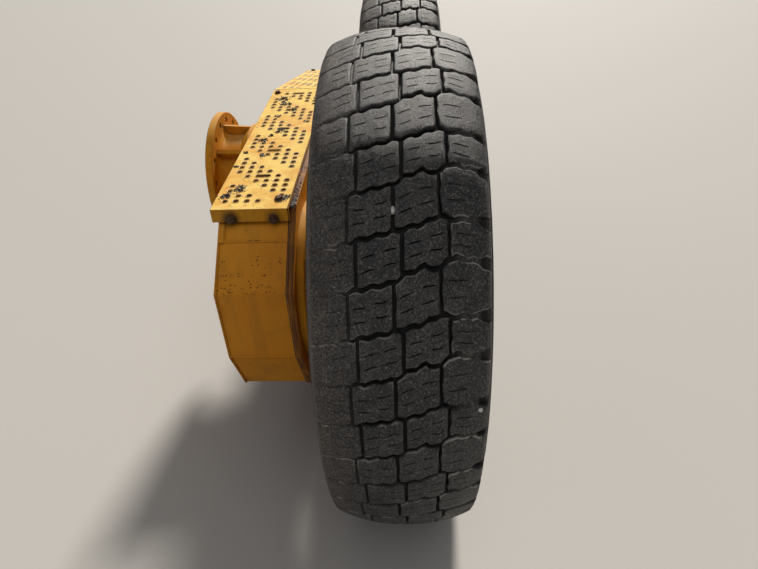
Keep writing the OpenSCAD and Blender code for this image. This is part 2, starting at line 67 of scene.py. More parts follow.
def linkedObject(name, data):
    made = bpy.data.objects.new(name, data)
    bpy.context.scene.collection.objects.link(made)
    return made


# Camera

cameraSettings = {
    "place": (-2.1426, -0.7546, 0.8088),
    "pitchDown": 32.7,
    "yaw": 3.5,
    "roll": 2.7,
    "lens": 25.466,
    "sensor": 36,
}


def makeCamera(settings):
    pitch, yaw, roll = (math.radians(settings[key]) for key in ("pitchDown", "yaw", "roll"))
    ahead = Vector((math.cos(pitch) * math.cos(yaw), math.cos(pitch) * math.sin(yaw), -math.sin(pitch)))
    level = Vector((math.sin(yaw), -math.cos(yaw), 0))
    over = level.cross(ahead)
    right = math.cos(roll) * level - math.sin(roll) * over
    up = math.cos(roll) * over + math.sin(roll) * level
    lens = bpy.data.cameras.new("camera")
    lens.lens = settings["lens"]
    lens.sensor_width = settings["sensor"]
    lens.sensor_fit = "HORIZONTAL"
    camera = linkedObject("camera", lens)
    turn = Matrix((right, up, -ahead)).transposed().to_4x4()
    camera.matrix_world = Matrix.Translation(settings["place"]) @ turn
    bpy.context.scene.camera = camera


makeCamera(cameraSettings)

# Nodes


# Adds a node, sets or links its inputs and gives one of its outputs
def addNode(tree, kind, inputs=None, output=0, **settings):
    made = tree.nodes.new(kind)
    for name, value in settings.items():
        setattr(made, name, value)
    for name, value in (inputs or {}).items():
        if isinstance(value, bpy.types.NodeSocket):
            tree.links.new(value, made.inputs[name])
        else:
            made.inputs[name].default_value = value
    return made.outputs[output]


def doMath(tree, operation, first, second=0.0, third=0.0):
    return addNode(tree, "ShaderNodeMath", {0: first, 1: second, 2: third}, operation=operation)


def product(tree, first, *others):
    for other in others:
        first = doMath(tree, "MULTIPLY", first, other)
    return first


# A first value and more values, each times its share
def weighted(tree, total, *terms):
    for value, share in terms:
        total = doMath(tree, "MULTIPLY_ADD", value, share, total)
    return total


def vectorMath(tree, operation, inputs, output=0):
    return addNode(tree, "ShaderNodeVectorMath", inputs, output, operation=operation)


def axesOf(tree, vector):
    return addNode(tree, "ShaderNodeSeparateXYZ", {0: vector}).node.outputs


# Goes smoothly from one strength to another while the value goes from start to full
def masked(tree, value, start, full, strength=1.0, before=0.0):
    inputs = {0: value, 1: start, 2: full, 3: before, 4: strength}
    return addNode(tree, "ShaderNodeMapRange", inputs, interpolation_type="SMOOTHSTEP")


def mixColour(tree, factor, *colours):
    first, second = (c if isinstance(c, bpy.types.NodeSocket) else (*c, 1) for c in colours)
    return addNode(tree, "ShaderNodeMix", {0: factor, 6: first, 7: second}, 2, data_type="RGBA")


def noiseAt(tree, where, scale, detail, roughness, distortion=0.0, stretch=None):
    if stretch:
        where = addNode(tree, "ShaderNodeMapping", {"Vector": where, "Scale": stretch})
    inputs = {"Vector": where, "Scale": scale, "Detail": detail, "Roughness": roughness,
              "Distortion": distortion}
    return addNode(tree, "ShaderNodeTexNoise", inputs, "Fac")


def noiseLayers(tree, where, table):
    return {name: noiseAt(tree, where, *layer) for name, layer in table.items()}


def newMaterial(name):
    material = bpy.data.materials.new(name)
    material.use_nodes = True
    tree = material.node_tree
    where = addNode(tree, "ShaderNodeTexCoord", output="Object")
    return material, tree, tree.nodes["Principled BSDF"], where


def linkShader(tree, shader, colour, roughness, height, normal=None):
    inputs = {"Height": height, "Distance": 1.0, "Strength": 1.0}
    if normal is not None:
        inputs["Normal"] = normal
    relief = addNode(tree, "ShaderNodeBump", inputs)
    for name, socket in (("Base Color", colour), ("Roughness", roughness), ("Normal", relief)):
        tree.links.new(socket, shader.inputs[name])


# A geometry tree, with the names of its inputs listed by their kind
def newTree(name, **kinds):
    tree = bpy.data.node_groups.new(name, "GeometryNodeTree")
    tree.is_modifier = True
    sockets = [("Geometry", "Geometry")] + [(socket, kind) for kind in kinds for socket in kinds[kind]]
    for socket, kind in sockets:
        tree.interface.new_socket(socket, in_out="INPUT", socket_type="NodeSocket" + kind)
    tree.interface.new_socket("Geometry", in_out="OUTPUT", socket_type="NodeSocketGeometry")
    return tree, tree.nodes.new("NodeGroupInput").outputs


def instancesOn(tree, points, instance, **more):
    inputs = {"Points": points, "Instance": instance, **more}
    instances = addNode(tree, "GeometryNodeInstanceOnPoints", inputs)
    return addNode(tree, "GeometryNodeRealizeInstances", {0: instances})


# Noise at each point's place, with a seed of its own
def seededNoise(tree, start, scale, detail, output):
    where = addNode(tree, "GeometryNodeInputPosition")
    inputs = {"Vector": where, "W": start["Seed"], "Scale": scale, "Detail": detail}
    return addNode(tree, "ShaderNodeTexNoise", inputs, output, noise_dimensions="4D")


def pushed(tree, geometry, direction, amount):
    offset = vectorMath(tree, "SCALE", {0: direction, "Scale": amount})
    return addNode(tree, "GeometryNodeSetPosition", {"Geometry": geometry, "Offset": offset})


def shaded(tree, geometry, smooth=True):
    return addNode(tree, "GeometryNodeSetShadeSmooth", {"Geometry": geometry, "Shade Smooth": smooth})


def endTree(tree, geometry, finish):
    geometry = addNode(tree, "GeometryNodeRealizeInstances", {0: geometry})
    geometry = addNode(tree, "GeometryNodeSetMaterial", {"Geometry": geometry, "Material": finish})
    tree.links.new(geometry, tree.nodes.new("NodeGroupOutput").inputs[0])
    return tree


# Runs a node tree on a piece and keeps the result as a plain mesh
def runNodes(piece, tree, values):
    modifier = piece.modifiers.new(tree.name, "NODES")
    modifier.node_group = tree
    for item in tree.interface.items_tree:
        if item.name in values and item.in_out == "INPUT":
            modifier[item.identifier] = values[item.name]
    bpy.context.view_layer.update()
    graph = bpy.context.evaluated_depsgraph_get()
    mesh = bpy.data.meshes.new_from_object(piece.evaluated_get(graph), depsgraph=graph)
    mesh.name = piece.name
    piece.modifiers.clear()
    piece.data = mesh


# Meshes


def meshPiece(name, points, faces, edges=(), scale=mm):
    mesh = bpy.data.meshes.new(name)
    mesh.from_pydata([Vector(point) * scale for point in points], edges, faces)
    mesh.validate()
    return linkedObject(name, mesh)


def addAttribute(piece, name, values):
    piece.data.attributes.new(name, "FLOAT", "POINT").data.foreach_set("value", values)


def joinPieces(name, pieces):
    whole = bmesh.new()
    materials = []
    for piece in pieces:
        start = len(whole.faces)
        whole.from_mesh(piece.data)
        whole.faces.ensure_lookup_table()
        for face in whole.faces[start:]:
            material = piece.data.materials[face.material_index]
            if material not in materials:
                materials.append(material)
            face.material_index = materials.index(material)
        bpy.data.objects.remove(piece)
    mesh = bpy.data.meshes.new(name)
    whole.to_mesh(mesh)
    whole.free()
    for material in materials:
        mesh.materials.append(material)
    return linkedObject(name, mesh)


# Closes a piece's seams, turns its faces outwards and gives it its body
def finishPiece(piece, body, mergeBelow=0.02 * mm):
    shell = bmesh.new()
    shell.from_mesh(piece.data)
    bmesh.ops.remove_doubles(shell, verts=shell.verts, dist=mergeBelow)
    bmesh.ops.recalc_face_normals(shell, faces=shell.faces)
    shell.to_mesh(piece.data)
    shell.free()
    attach(piece, body)
    print(piece.name, len(piece.data.polygons), "faces")


# Turns an outline of radii and heights about Z, drawn out along Y: a capped solid, or a ring if it is closed
def turnedMesh(name, outline, around, straight=0.0, closed=False):
    points, faces = [], []
    for r, h in outline:
        for k in range(around):
            angle = 2 * math.pi * (k + 0.5) / around
            y = math.sin(angle)
            points.append((r * math.cos(angle), r * y + math.copysign(straight / 2, y), h))
    for row in range(len(outline) if closed else len(outline) - 1):
        above = (row + 1) % len(outline) * around
        for k in range(around):
            after = (k + 1) % around
            faces.append([row * around + k, row * around + after, above + after, above + k])
    if not closed:
        faces.append(list(range(around))[::-1])
        faces.append([len(points) - around + k for k in range(around)])
    return meshPiece(name, points, faces)


# Materials

paintSettings = {
    "yellow_paint": {
        "paint": (0.66, 0.240, 0.005), "faded": (0.68, 0.285, 0.012), "dark": (0.46, 0.165, 0.004),
        "dust": (0.52, 0.34, 0.14), "dustShare": 0.40, "rustShare": 0.72, "chips": 0.56,
        "grain": 0.00012, "roughness": 0.42,
    },
    "walkway_paint": {
        "paint": (0.62, 0.255, 0.006), "faded": (0.66, 0.31, 0.018), "dark": (0.46, 0.18, 0.006),
        "dust": (0.83, 0.58, 0.17), "dustShare": 1.0, "rustShare": 0.72, "chips": 0.44,
        "grain": 0.00016, "roughness": 0.50, "boltsAt": [(-0.2975, 0.207), (-0.4105, 0.207)],
    },
    # The raised rims get paler paint than the walkway plate: a painted highlight on the rims
    "raised_rims": {
        "paint": (0.84, 0.56, 0.17), "faded": (0.88, 0.68, 0.34), "dark": (0.55, 0.28, 0.05),
        "dust": (0.88, 0.68, 0.34), "dustShare": 0.5, "rustShare": 0.95, "chips": 0.40,
        "grain": 0.0002, "roughness": 0.42,
    },
    "yellow_casting": {
        "paint": (0.60, 0.245, 0.006), "faded": (0.62, 0.31, 0.02), "dark": (0.36, 0.135, 0.006),
        "dust": (0.48, 0.33, 0.16), "dustShare": 0.45, "rustShare": 0.70, "chips": 0.60,
        "grain": 0.00055, "roughness": 0.55,
    },
    "rim_paint": {
        "paint": (0.62, 0.255, 0.008), "faded": (0.64, 0.33, 0.035), "dark": (0.38, 0.15, 0.010),
        "dust": (0.48, 0.34, 0.17), "dustShare": 0.42, "rustShare": 0.67, "chips": 0.52,
        "grain": 0.00014, "roughness": 0.45,
    },
}
wearSettings = {
    # The soil colour is soil and painted shade: it darkens the corners that ambient occlusion finds
    "rust": (0.135, 0.042, 0.014), "rustEdge": (0.30, 0.12, 0.03), "soil": (0.045, 0.034, 0.024),
    "rain": (0.22, 0.10, 0.02), "bare": (0.52, 0.42, 0.34), "grime": (0.07, 0.027, 0.006),
    "rustLayers": ((0.030, 0.009, 0.003), (0.27, 0.092, 0.010)),
    "edgeRadius": 0.0032, "cornerReach": 0.034, "lipAt": 0.86, "plateEdge": (-0.457, 0.0085),
    "rustField": 0.22, "specular": 0.22, "edgeSamples": 4, "cornerSamples": 6,
    # How much rougher the fine grain and dull dirt are, and how far patches, rust and chips stand out
    "rougher": (0.18, 0.35), "relief": (0.0011, -0.00045, -0.0003),
    # Columns: scale, detail, roughness, distortion, stretch
    "noise": {
        "broad": (2.6, 5, 0.6), "patchy": (11, 6, 0.62, 0.4), "fine": (70, 5, 0.6), "grit": (420, 3, 0.6),
        "runs": (22, 4, 0.6, 0.0, (1.6, 1.6, 0.16)), "spots": (46, 3, 0.55), "field": (5.5, 3, 0.5),
        "layers": (1.0, 3, 0.6, 0.0, (5, 330, 5)),
    },
    # Columns: where a mask starts, where it is full, its strength there, its strength before
    "masks": {
        "level": (0.78, 0.97), "faded": (0.36, 0.66), "dark": (0.46, 0.74, 0.55), "rain": (0.50, 0.72, 0.22),
        "dust": (0.30, 0.62), "film": (0.45, 0.80, 0.10), "rustEdge": (0.085, 0.14, 0.75),
        "rust": (0.12, 0.155), "edge": (0.97, 0.80), "chips": (-0.05, 0.04), "bare": (0.42, 0.60),
        "plateEdge": (0.25, 0.50, 0.92, 0.45), "layers": (0.40, 0.62), "bolt": (0.034, 0.013, 0.85),
        "grime": (0.30, 0.56), "corner": (0.68, 0.22, 0.8), "soilAndShade": (0.28, 0.55),
    },
}


def weatheredPaint(name, look):
    s = wearSettings
    material, tree, shader, where = newMaterial(name)
    noise = noiseLayers(tree, where, s["noise"])
    patchy, fine, grit = noise["patchy"], noise["fine"], noise["grit"]
    mask = lambda kind, value: masked(tree, value, *s["masks"][kind])
    along, across, height = axesOf(tree, where)
    _, sideways, up = axesOf(tree, where.node.outputs["Normal"])
    colour = mixColour(tree, mask("faded", noise["broad"]), look["paint"], look["faded"])
    colour = mixColour(tree, mask("dark", patchy), colour, look["dark"])
    # Dirt that rain has drawn down the upright faces
    level = mask("level", up)
    steep = doMath(tree, "SUBTRACT", 1.0, level)
    colour = mixColour(tree, product(tree, mask("rain", noise["runs"]), steep), colour, s["rain"])
    # Dust that lies on what faces up
    lying = product(tree, level, mask("dust", patchy), look["dustShare"])
    dust = doMath(tree, "MAXIMUM", lying, product(tree, mask("film", fine), look["dustShare"]))
    colour = mixColour(tree, dust, colour, look["dust"])
    # Rust spots with a brown edge
    rusty = weighted(tree, noise["spots"], (noise["field"], s["rustField"]))
    rusty = doMath(tree, "SUBTRACT", rusty, look["rustShare"])
    core = mask("rust", rusty)
    colour = mixColour(tree, mask("rustEdge", rusty), colour, s["rustEdge"])
    colour = mixColour(tree, core, colour, s["rust"])
    # Chipped edges, found where the rounded normal leaves the flat one
    rounded = addNode(tree, "ShaderNodeBevel", {"Radius": s["edgeRadius"]}, samples=s["edgeSamples"])
    flat = addNode(tree, "ShaderNodeNewGeometry", output="Normal")
    facing = vectorMath(tree, "DOT_PRODUCT", {0: rounded, 1: flat}, "Value")
    worn = product(tree, mask("edge", facing), mask("chips", doMath(tree, "SUBTRACT", fine, look["chips"])))
    colour = mixColour(tree, worn, colour, mixColour(tree, mask("bare", grit), s["rust"], s["bare"]))
    # The outer side plate's edge, which rusts in layers where dirt packs against it
    strip = doMath(tree, "COMPARE", across, *s["plateEdge"])
    strip = product(tree, strip, doMath(tree, "GREATER_THAN", sideways, -0.5), mask("plateEdge", patchy))
    layers = mixColour(tree, mask("layers", noise["layers"]), *s["rustLayers"])
    colour = mixColour(tree, strip, colour, layers)
    # Grime round the bolts of the walkway's lips
    onLip = doMath(tree, "GREATER_THAN", doMath(tree, "ABSOLUTE", along), s["lipAt"])
    lipPlace = addNode(tree, "ShaderNodeCombineXYZ", {1: across, 2: height})
    for side, above in look.get("boltsAt", []):
        away = vectorMath(tree, "DISTANCE", {0: lipPlace, 1: (0, side, above)}, "Value")
        grime = product(tree, mask("bolt", away), mask("grime", patchy), onLip)
        colour = mixColour(tree, grime, colour, s["grime"])
    # Soil held in the corners, and painted shade: ambient occlusion darkens the corners with the soil colour
    inputs = {"Distance": s["cornerReach"]}
    cornerOcclusion = addNode(tree, "ShaderNodeAmbientOcclusion", inputs, "AO", samples=s["cornerSamples"])
    soilAndShade = product(tree, mask("corner", cornerOcclusion), mask("soilAndShade", patchy))
    colour = mixColour(tree, soilAndShade, colour, s["soil"])
    dull = doMath(tree, "MAXIMUM", dust, core)
    rough = weighted(tree, look["roughness"], *zip((fine, dull), s["rougher"]))
    relief = weighted(tree, product(tree, grit, look["grain"]), *zip((patchy, core, worn), s["relief"]))
    shader.inputs["Specular IOR Level"].default_value = s["specular"]
    linkShader(tree, shader, colour, rough, relief, rounded)
    return material


steelSettings = {
    # Stains start and are full at two values of the clouds
    "machined_steel": {"clean": (0.42, 0.40, 0.37), "stained": (0.12, 0.085, 0.055), "stains": (0.45, 0.67),
                       "metal": 0.85, "roughness": 0.34},
    "fastener_steel": {"clean": (0.10, 0.085, 0.07), "stained": (0.085, 0.040, 0.020), "stains": (0.34, 0.56),
                       "metal": 0.55, "roughness": 0.55},
    "valve_brass": {"clean": (0.36, 0.25, 0.10), "stained": (0.08, 0.06, 0.035), "stains": (0.40, 0.62),
                    "metal": 0.8, "roughness": 0.45},
}
steelNoise = {"cloudy": (26, 6, 0.65, 0.5), "fine": (190, 4, 0.6)}
steelWear = {"rust": (0.45, 0.75, 0.4), "rougher": 0.3, "relief": (0.0004, 0.00022)}


def stainedSteel(name, look):
    material, tree, shader, where = newMaterial(name)
    cloudy, fine = noiseLayers(tree, where, steelNoise).values()
    stain = masked(tree, cloudy, *look["stains"])
    colour = mixColour(tree, stain, look["clean"], look["stained"])
    colour = mixColour(tree, masked(tree, fine, *steelWear["rust"]), colour, wearSettings["rustEdge"])
    rough = weighted(tree, look["roughness"], (stain, steelWear["rougher"]))
    relief = weighted(tree, 0.0, *zip((cloudy, fine), steelWear["relief"]))
    shader.inputs["Metallic"].default_value = look["metal"]
    linkShader(tree, shader, colour, rough, relief)
    return material


rubberSettings = {
    "rubber": ((0.017, 0.0165, 0.018), (0.040, 0.038, 0.038)),
    "dust": ((0.110, 0.104, 0.098), (0.150, 0.108, 0.076)),
    # The groove colours are painted shade for the depths of the grooves
    "groove": ((0.0055, 0.005, 0.005), (0.018, 0.015, 0.013)),
    "dark": (0.006, 0.006, 0.006), "scuffs": (0.165, 0.160, 0.152), "specks": (0.48, 0.45, 0.41),
    # The torn colour is lighter rubber on the block edges: torn rubber, and a painted highlight
    "torn": (0.33, 0.315, 0.29), "mostTornAndHighlight": 0.9, "inwardDust": 0.20,
    # The sidewalls keep little of the tread's scuffs and grain
    "sidewall": -0.78, "roughness": (0.46, 0.28), "relief": (0.0024, 0.0026),
    # Columns: scale, detail, roughness, distortion
    "noise": {"cloudy": (6.5, 6, 0.62), "patchy": (38, 5, 0.6), "grain": (240, 6, 0.76, 0.3),
              "specks": (330, 3, 0.6, 1.2), "tears": (13, 2, 0.5)},
    # Columns: where a mask starts, where it is full, its strength there
    "masks": {"faded": (0.38, 0.66), "inward": (-0.72, -0.57), "dust": (0.40, 0.75, 0.45),
              "dark": (0.52, 0.40, 0.85), "scuffs": (0.52, 0.64, 0.9), "specks": (0.64, 0.72),
              "specked": (0.42, 0.62), "torn": (0.42, 0.56), "grooveShadeDepth": (0.14, 0.60), "groove": (0.40, 0.62)},
}


def tyreRubber(name):
    s = rubberSettings
    material, tree, shader, where = newMaterial(name)
    noise = noiseLayers(tree, where, s["noise"])
    patchy, grain = noise["patchy"], noise["grain"]
    mask = lambda kind, value: masked(tree, value, *s["masks"][kind])
    depth, torn, sidewall = (addNode(tree, "ShaderNodeAttribute", output="Fac", attribute_name=attribute)
                             for attribute in ("depth", "torn", "sidewall"))
    tread = weighted(tree, 1.0, (sidewall, s["sidewall"]))
    colour = mixColour(tree, mask("faded", noise["cloudy"]), *s["rubber"])
    # Road dust, browner on the side that faces the case
    inward = mask("inward", axesOf(tree, where)[1])
    dusty = weighted(tree, mask("dust", patchy), (inward, s["inwardDust"]))
    colour = mixColour(tree, dusty, colour, mixColour(tree, inward, *s["dust"]))
    colour = mixColour(tree, product(tree, mask("dark", grain), tread), colour, s["dark"])
    colour = mixColour(tree, product(tree, mask("scuffs", grain), tread), colour, s["scuffs"])
    specks = product(tree, mask("specks", noise["specks"]), mask("specked", patchy), tread)
    colour = mixColour(tree, specks, colour, s["specks"])
    # Torn block edges show lighter rubber, which also paints a highlight along the block edges
    torn = product(tree, torn, mask("torn", patchy), mask("torn", noise["tears"]))
    colour = mixColour(tree, doMath(tree, "MINIMUM", torn, s["mostTornAndHighlight"]), colour, s["torn"])
    # Painted shade in the grooves: the deeper the rubber lies below the tread face, the darker it is painted
    groove = mixColour(tree, mask("groove", patchy), *s["groove"])
    colour = mixColour(tree, mask("grooveShadeDepth", depth), colour, groove)
    rough = weighted(tree, s["roughness"][0], (patchy, s["roughness"][1]))
    relief = product(tree, weighted(tree, 0.0, *zip((grain, patchy), s["relief"])), tread)
    linkShader(tree, shader, colour, rough, relief)
    return material


earthSettings = {
    # Columns: darker colour, lighter colour, scale of the clouds, roughness
    # The near-black soil finish also paints shade: in the walkway's holes, the weld's open end and along the
    # outer seam
    "soil": ((0.010, 0.008, 0.007), (0.034, 0.026, 0.020), 120, 0.9),
    "dry_mud": ((0.16, 0.14, 0.12), (0.34, 0.31, 0.27), 150, 0.9),
    "stone": ((0.52, 0.50, 0.46), (0.68, 0.66, 0.62), 90, 0.75),
    "rust": ((0.085, 0.022, 0.005), (0.19, 0.058, 0.012), 200, 0.9),
}
earthGrain = {
    # Columns: detail, roughness
    "cloudy": (6, 0.65), "fine": (4, 0.6),
    "finer": 7, "light": (0.35, 0.68), "rougher": 0.05, "relief": 0.0005,
}


def plainEarth(name, look):
    dark, light, scale, roughness = look
    material, tree, shader, where = newMaterial(name)
    cloudy = noiseAt(tree, where, scale, *earthGrain["cloudy"])
    fine = noiseAt(tree, where, scale * earthGrain["finer"], *earthGrain["fine"])
    colour = mixColour(tree, masked(tree, cloudy, *earthGrain["light"]), dark, light)
    rough = weighted(tree, roughness, (fine, earthGrain["rougher"]))
    linkShader(tree, shader, colour, rough, product(tree, fine, earthGrain["relief"]))
    return material


materials = {"tyre_rubber": tyreRubber("tyre_rubber")}
finishes = ((weatheredPaint, paintSettings), (stainedSteel, steelSettings), (plainEarth, earthSettings))
for makeMaterial, looks in finishes:
    materials.update({name: makeMaterial(name, look) for name, look in looks.items()})
for subpart in frame["record"]["subparts"]:
    surface = frame["nodes"][subpart["node"]].data.materials
    surface.clear()
    surface.append(materials[subpart["material_slot"]])
print("materials made")

# Tyres: one slice of two pitches, repeated round the wheel

tyreSettings = {
    "radius": 685, "halfTread": 171, "drop": 36, "power": 2.2, "deepest": 13,
    "turn": 5.75, "pitches": 48, "row": 84, "step": 16,
    "edge": 200, "blockEdge": 192, "shoulder": 158, "footRadius": 619, "footHalf": 172.3,
    "bulgeRadius": 505, "bulgeHalf": 187.5, "beadHalf": 127, "beadTop": 334,
    "sideSteps": 26, "arcUp": 50, "arcDown": 65, "ribFlank": 1.5, "ribClear": 3,
    "columns": 6, "longest": 10, "torn": (1.0, 0.7, 0.7, 1.8), "tearSeed": 7, "inset": -5.0,
    "scallopLength": 31, "scallopEnd": 168, "scallopFade": 20, "scallopShift": 0.3,
    # Columns: distance across the tread, distance along it
    "paths": [
        [(-193, -42), (-84, -22), (0, -3), (44, 8), (76, 24), (92, 20), (193, 15)],
        [(-193, -42), (-84, -22), (-8, -6), (13, 8), (48, 22), (76, 16), (90, 38), (193, 24)],
    ],
    # Columns: distance across the tread, half width
    "halfCross": [(-200, 3), (-100, 3.2), (-70, 5.2), (90, 5.8), (140, 4.6), (150, 8), (161, 13), (185, 15)],
    "halfLengthways": (3.2, 3.6, 3.2),
    # Columns: outward move, depth, share of the full depth, lightness of the torn rubber and painted
    # highlight on the block edges
    "rings": [(1.0, 99, 1.0, 0.0), (0.0, 1.6, 0.5, 0.7), (-0.9, 0.5, 0.2, 1.0), (-2.8, 0.0, 0.0, 0.0)],
    # Lighter rubber along the block edges, by column and by edge: torn rubber, and a painted highlight
    "tornAndHighlightByColumn": (0.9, 0.6, 0.6, 1.8), "tornAndHighlightByEdge": {"first": 1.0, "last": 0.4, "side": 0.12},
    "cuts": {"rows": (0.36, 0.65), "spans": ((0.065, 0.42), (0.57, 0.935)), "half": 1.5, "steps": 5,
             "depth": (1.5, 8.0, 8.0, 3.0), "rise": 5, "wave": 0.9, "waves": 14, "scallop": 0.3,
             "reach": 150, "shortest": 12},
    "spots": {"first": 9, "step": 19, "past": 20, "clear": 6},
    # Columns: radius of the rib's middle, width, height
    "ribs": [(596, 5, 2.2), (560, 3, 1.2), (470, 3, 1.0), (462, 3, 1.0), (392, 4, 1.4), (352, 9, 4.0)],
    # Columns: radius, half width, down round the bead and up inside the tyre
    "bead": [(331, 127), (313, 127), (305, 119), (305, 100), (310, 95)],
    "cavity": [(345, 95), (420, 150), (505, 161.5), (595, 137), (631, 85)],
    "nodes": {"Wear": 1.8 * mm, "Wear Scale": 34.0, "Merge": 0.05 * mm, "Sharp": math.radians(38)},
}

# The rear tyre's sides are worn nearly smooth, the front tyre's grooves are still open
tyreWear = {
    # Depths, with columns: distance across the tread, depth of its grooves
    "rear": {
        "open": 1.0, "scallop": 2.8, "seed": 3.0,
        "depths": [(-186, 0), (-165, 2.2), (-120, 2.2), (-101, 3), (-94, 5.5), (-74, 9), (-60, 13), (90, 13),
                   (106, 6), (120, 2.6), (146, 2.6), (156, 13), (176, 17), (186, 8), (191, 0)],
    },
    "front": {
        "open": 1.45, "scallop": 4.2, "seed": 11.0,
        "depths": [(-190, 0), (-180, 8), (-150, 8), (-60, 13), (110, 13), (150, 11), (176, 14), (186, 5),
                   (191, 0)],
    },
}


def lookUp(table, at):
    if at <= table[0][0]:
        return table[0][1]
    for (x1, y1), (x2, y2) in zip(table, table[1:]):
        if at <= x2:
            return y1 + (y2 - y1) * (at - x1) / (x2 - x1)
    return table[-1][1]


# The tread's outline as radius and distance across: a round crown, then a curve down to the sidewall
def treadLine(e):
    s = tyreSettings
    side, e = math.copysign(1, e), abs(e)
    crown = lambda x: s["radius"] - s["drop"] * (x / s["halfTread"]) ** s["power"]
    if e <= s["shoulder"]:
        return Vector((crown(e), side * e))
    fall = (crown(s["shoulder"] - 1) - crown(s["shoulder"] + 1)) / 2
    corner = Vector((crown(s["shoulder"]) - fall * (s["footHalf"] - s["shoulder"]), s["footHalf"] - 0.5))
    start = Vector((crown(s["shoulder"]), s["shoulder"]))
    foot = Vector((s["footRadius"], s["footHalf"]))
    t = (e - s["shoulder"]) / (s["edge"] - s["shoulder"])
    point = start * (1 - t) ** 2 + corner * 2 * t * (1 - t) + foot * t * t
    return Vector((point.x, side * point.y))


def treadPoint(e, sink):
    along = treadLine(min(e + 0.5, tyreSettings["edge"])) - treadLine(max(e - 0.5, -tyreSettings["edge"]))
    outward = Vector((along.y, -along.x)).normalized()
    return treadLine(e) - outward * sink


# The middle of a cross groove, with its scalloped waves
def pathAt(i, e, scallop=1.0):
    s = tyreSettings
    pitch = s["radius"] * 2 * math.pi / s["pitches"]
    fade = max(0, min(1, (s["scallopEnd"] - abs(e)) / s["scallopFade"]))
    turns = e / s["scallopLength"] + s["scallopShift"] * (i % 2)
    wave = scallop * s["scallop"] * fade * math.sin(2 * math.pi * turns)
    return i * pitch - lookUp(s["paths"][i % 2], e) + wave


def stopsBetween(i, low, high):
    s = tyreSettings
    bends = [e for e, _ in s["paths"][i % 2] if low + 2 < e < high - 2]
    marks = [low, *bends, high]
    stops = []
    for a, b in zip(marks, marks[1:]):
        count = max(1, math.ceil((b - a) / s["longest"]))
        stops += [a + (b - a) * k / count for k in range(count)]
    return stops + [high]


# Moves a closed outline outwards, or inwards if grow is under 0
def moved(points, grow, sharpest=0.4):
    made = []
    for k, here in enumerate(points):
        before, after = points[k - 1], points[(k + 1) % len(points)]
        n1 = Vector((here - before).yx) * Vector((1, -1))
        n2 = Vector((after - here).yx) * Vector((1, -1))
        n1.normalize()
        n2.normalize()
        made.append(here + (n1 + n2) * grow / max(sharpest, 1 + n1.dot(n2)))
    return made


def insideOutline(point, outline):
    hit = False
    for a, b in zip(outline, outline[1:] + outline[:1]):
        if (a.y > point.y) != (b.y > point.y):
            if point.x < (b.x - a.x) * (point.y - a.y) / (b.y - a.y) + a.x:
                hit = not hit
    return hit


def blockSides(i, column):
    s = tyreSettings
    shift = s["step"] / 2 * (1 if i % 2 == 0 else -1)
    left, right = -s["blockEdge"], s["blockEdge"]
    if column > 0:
        left = (column - 2) * s["row"] + shift + s["halfLengthways"][column - 1]
    if column < 3:
        right = (column - 1) * s["row"] + shift - s["halfLengthways"][column]
    return left, right


# A block's outline, with a share of torn rubber and painted edge highlight for each of its points
def blockOutline(i, left, right):
    s = tyreSettings
    torn = s["tornAndHighlightByEdge"]
    halfGap = lambda e: lookUp(s["halfCross"], e) * s["open"]
    bottom = [Vector((e, pathAt(i, e) + halfGap(e))) for e in stopsBetween(i, left, right)]
    top = [Vector((e, pathAt(i + 1, e) - halfGap(e))) for e in stopsBetween(i + 1, left, right)]
    rising = [bottom[-1].lerp(top[-1], k / 4) for k in (1, 2, 3)]
    falling = [top[0].lerp(bottom[0], k / 4) for k in (1, 2, 3)]
    sides = [torn["side"]] * 3
    shares = [torn["first"]] * len(bottom) + sides + [torn["last"]] * len(top) + sides
    return bottom + rising + top[::-1] + falling, shares


# Two rows of narrow cuts in each block, each in two lengths
def blockCuts(i, column, left, right):
    cuts = tyreSettings["cuts"]
    lines = []
    for row in cuts["rows"]:
        for first, last in cuts["spans"]:
            middle = []
            for k in range(cuts["steps"] + 1):
                share = first + (last - first) * k / cuts["steps"]
                e = left + (right - left) * share
                # Cuts in the outer columns end on the crown
                if column in (0, 3):
                    e = max(-cuts["reach"], min(cuts["reach"], e))
                low, high = pathAt(i, e, cuts["scallop"]), pathAt(i + 1, e, cuts["scallop"])
                wave = cuts["wave"] * math.sin(share * cuts["waves"] + i * 2 + column)
                a = low * (1 - row) + high * row - cuts["rise"] * (share - 0.5) + wave
                middle.append(Vector((e, a)))
            if middle[-1].x - middle[0].x >= cuts["shortest"]:
                lines.append(middle)
    return lines


# A few more points keep the block's face round
def faceSpots(i, left, right, outline, lines):
    s = tyreSettings["spots"]
    spots = []
    e = left + s["first"]
    while e < right:
        a = pathAt(i, e) - s["past"]
        while a < pathAt(i + 1, e) + s["past"]:
            spot = Vector((e, a))
            clear = all((spot - p).length > s["clear"] for line in lines for p in line)
            if clear and insideOutline(spot, outline):
                spots.append(spot)
            a += s["step"]
        e += s["step"]
    return spots


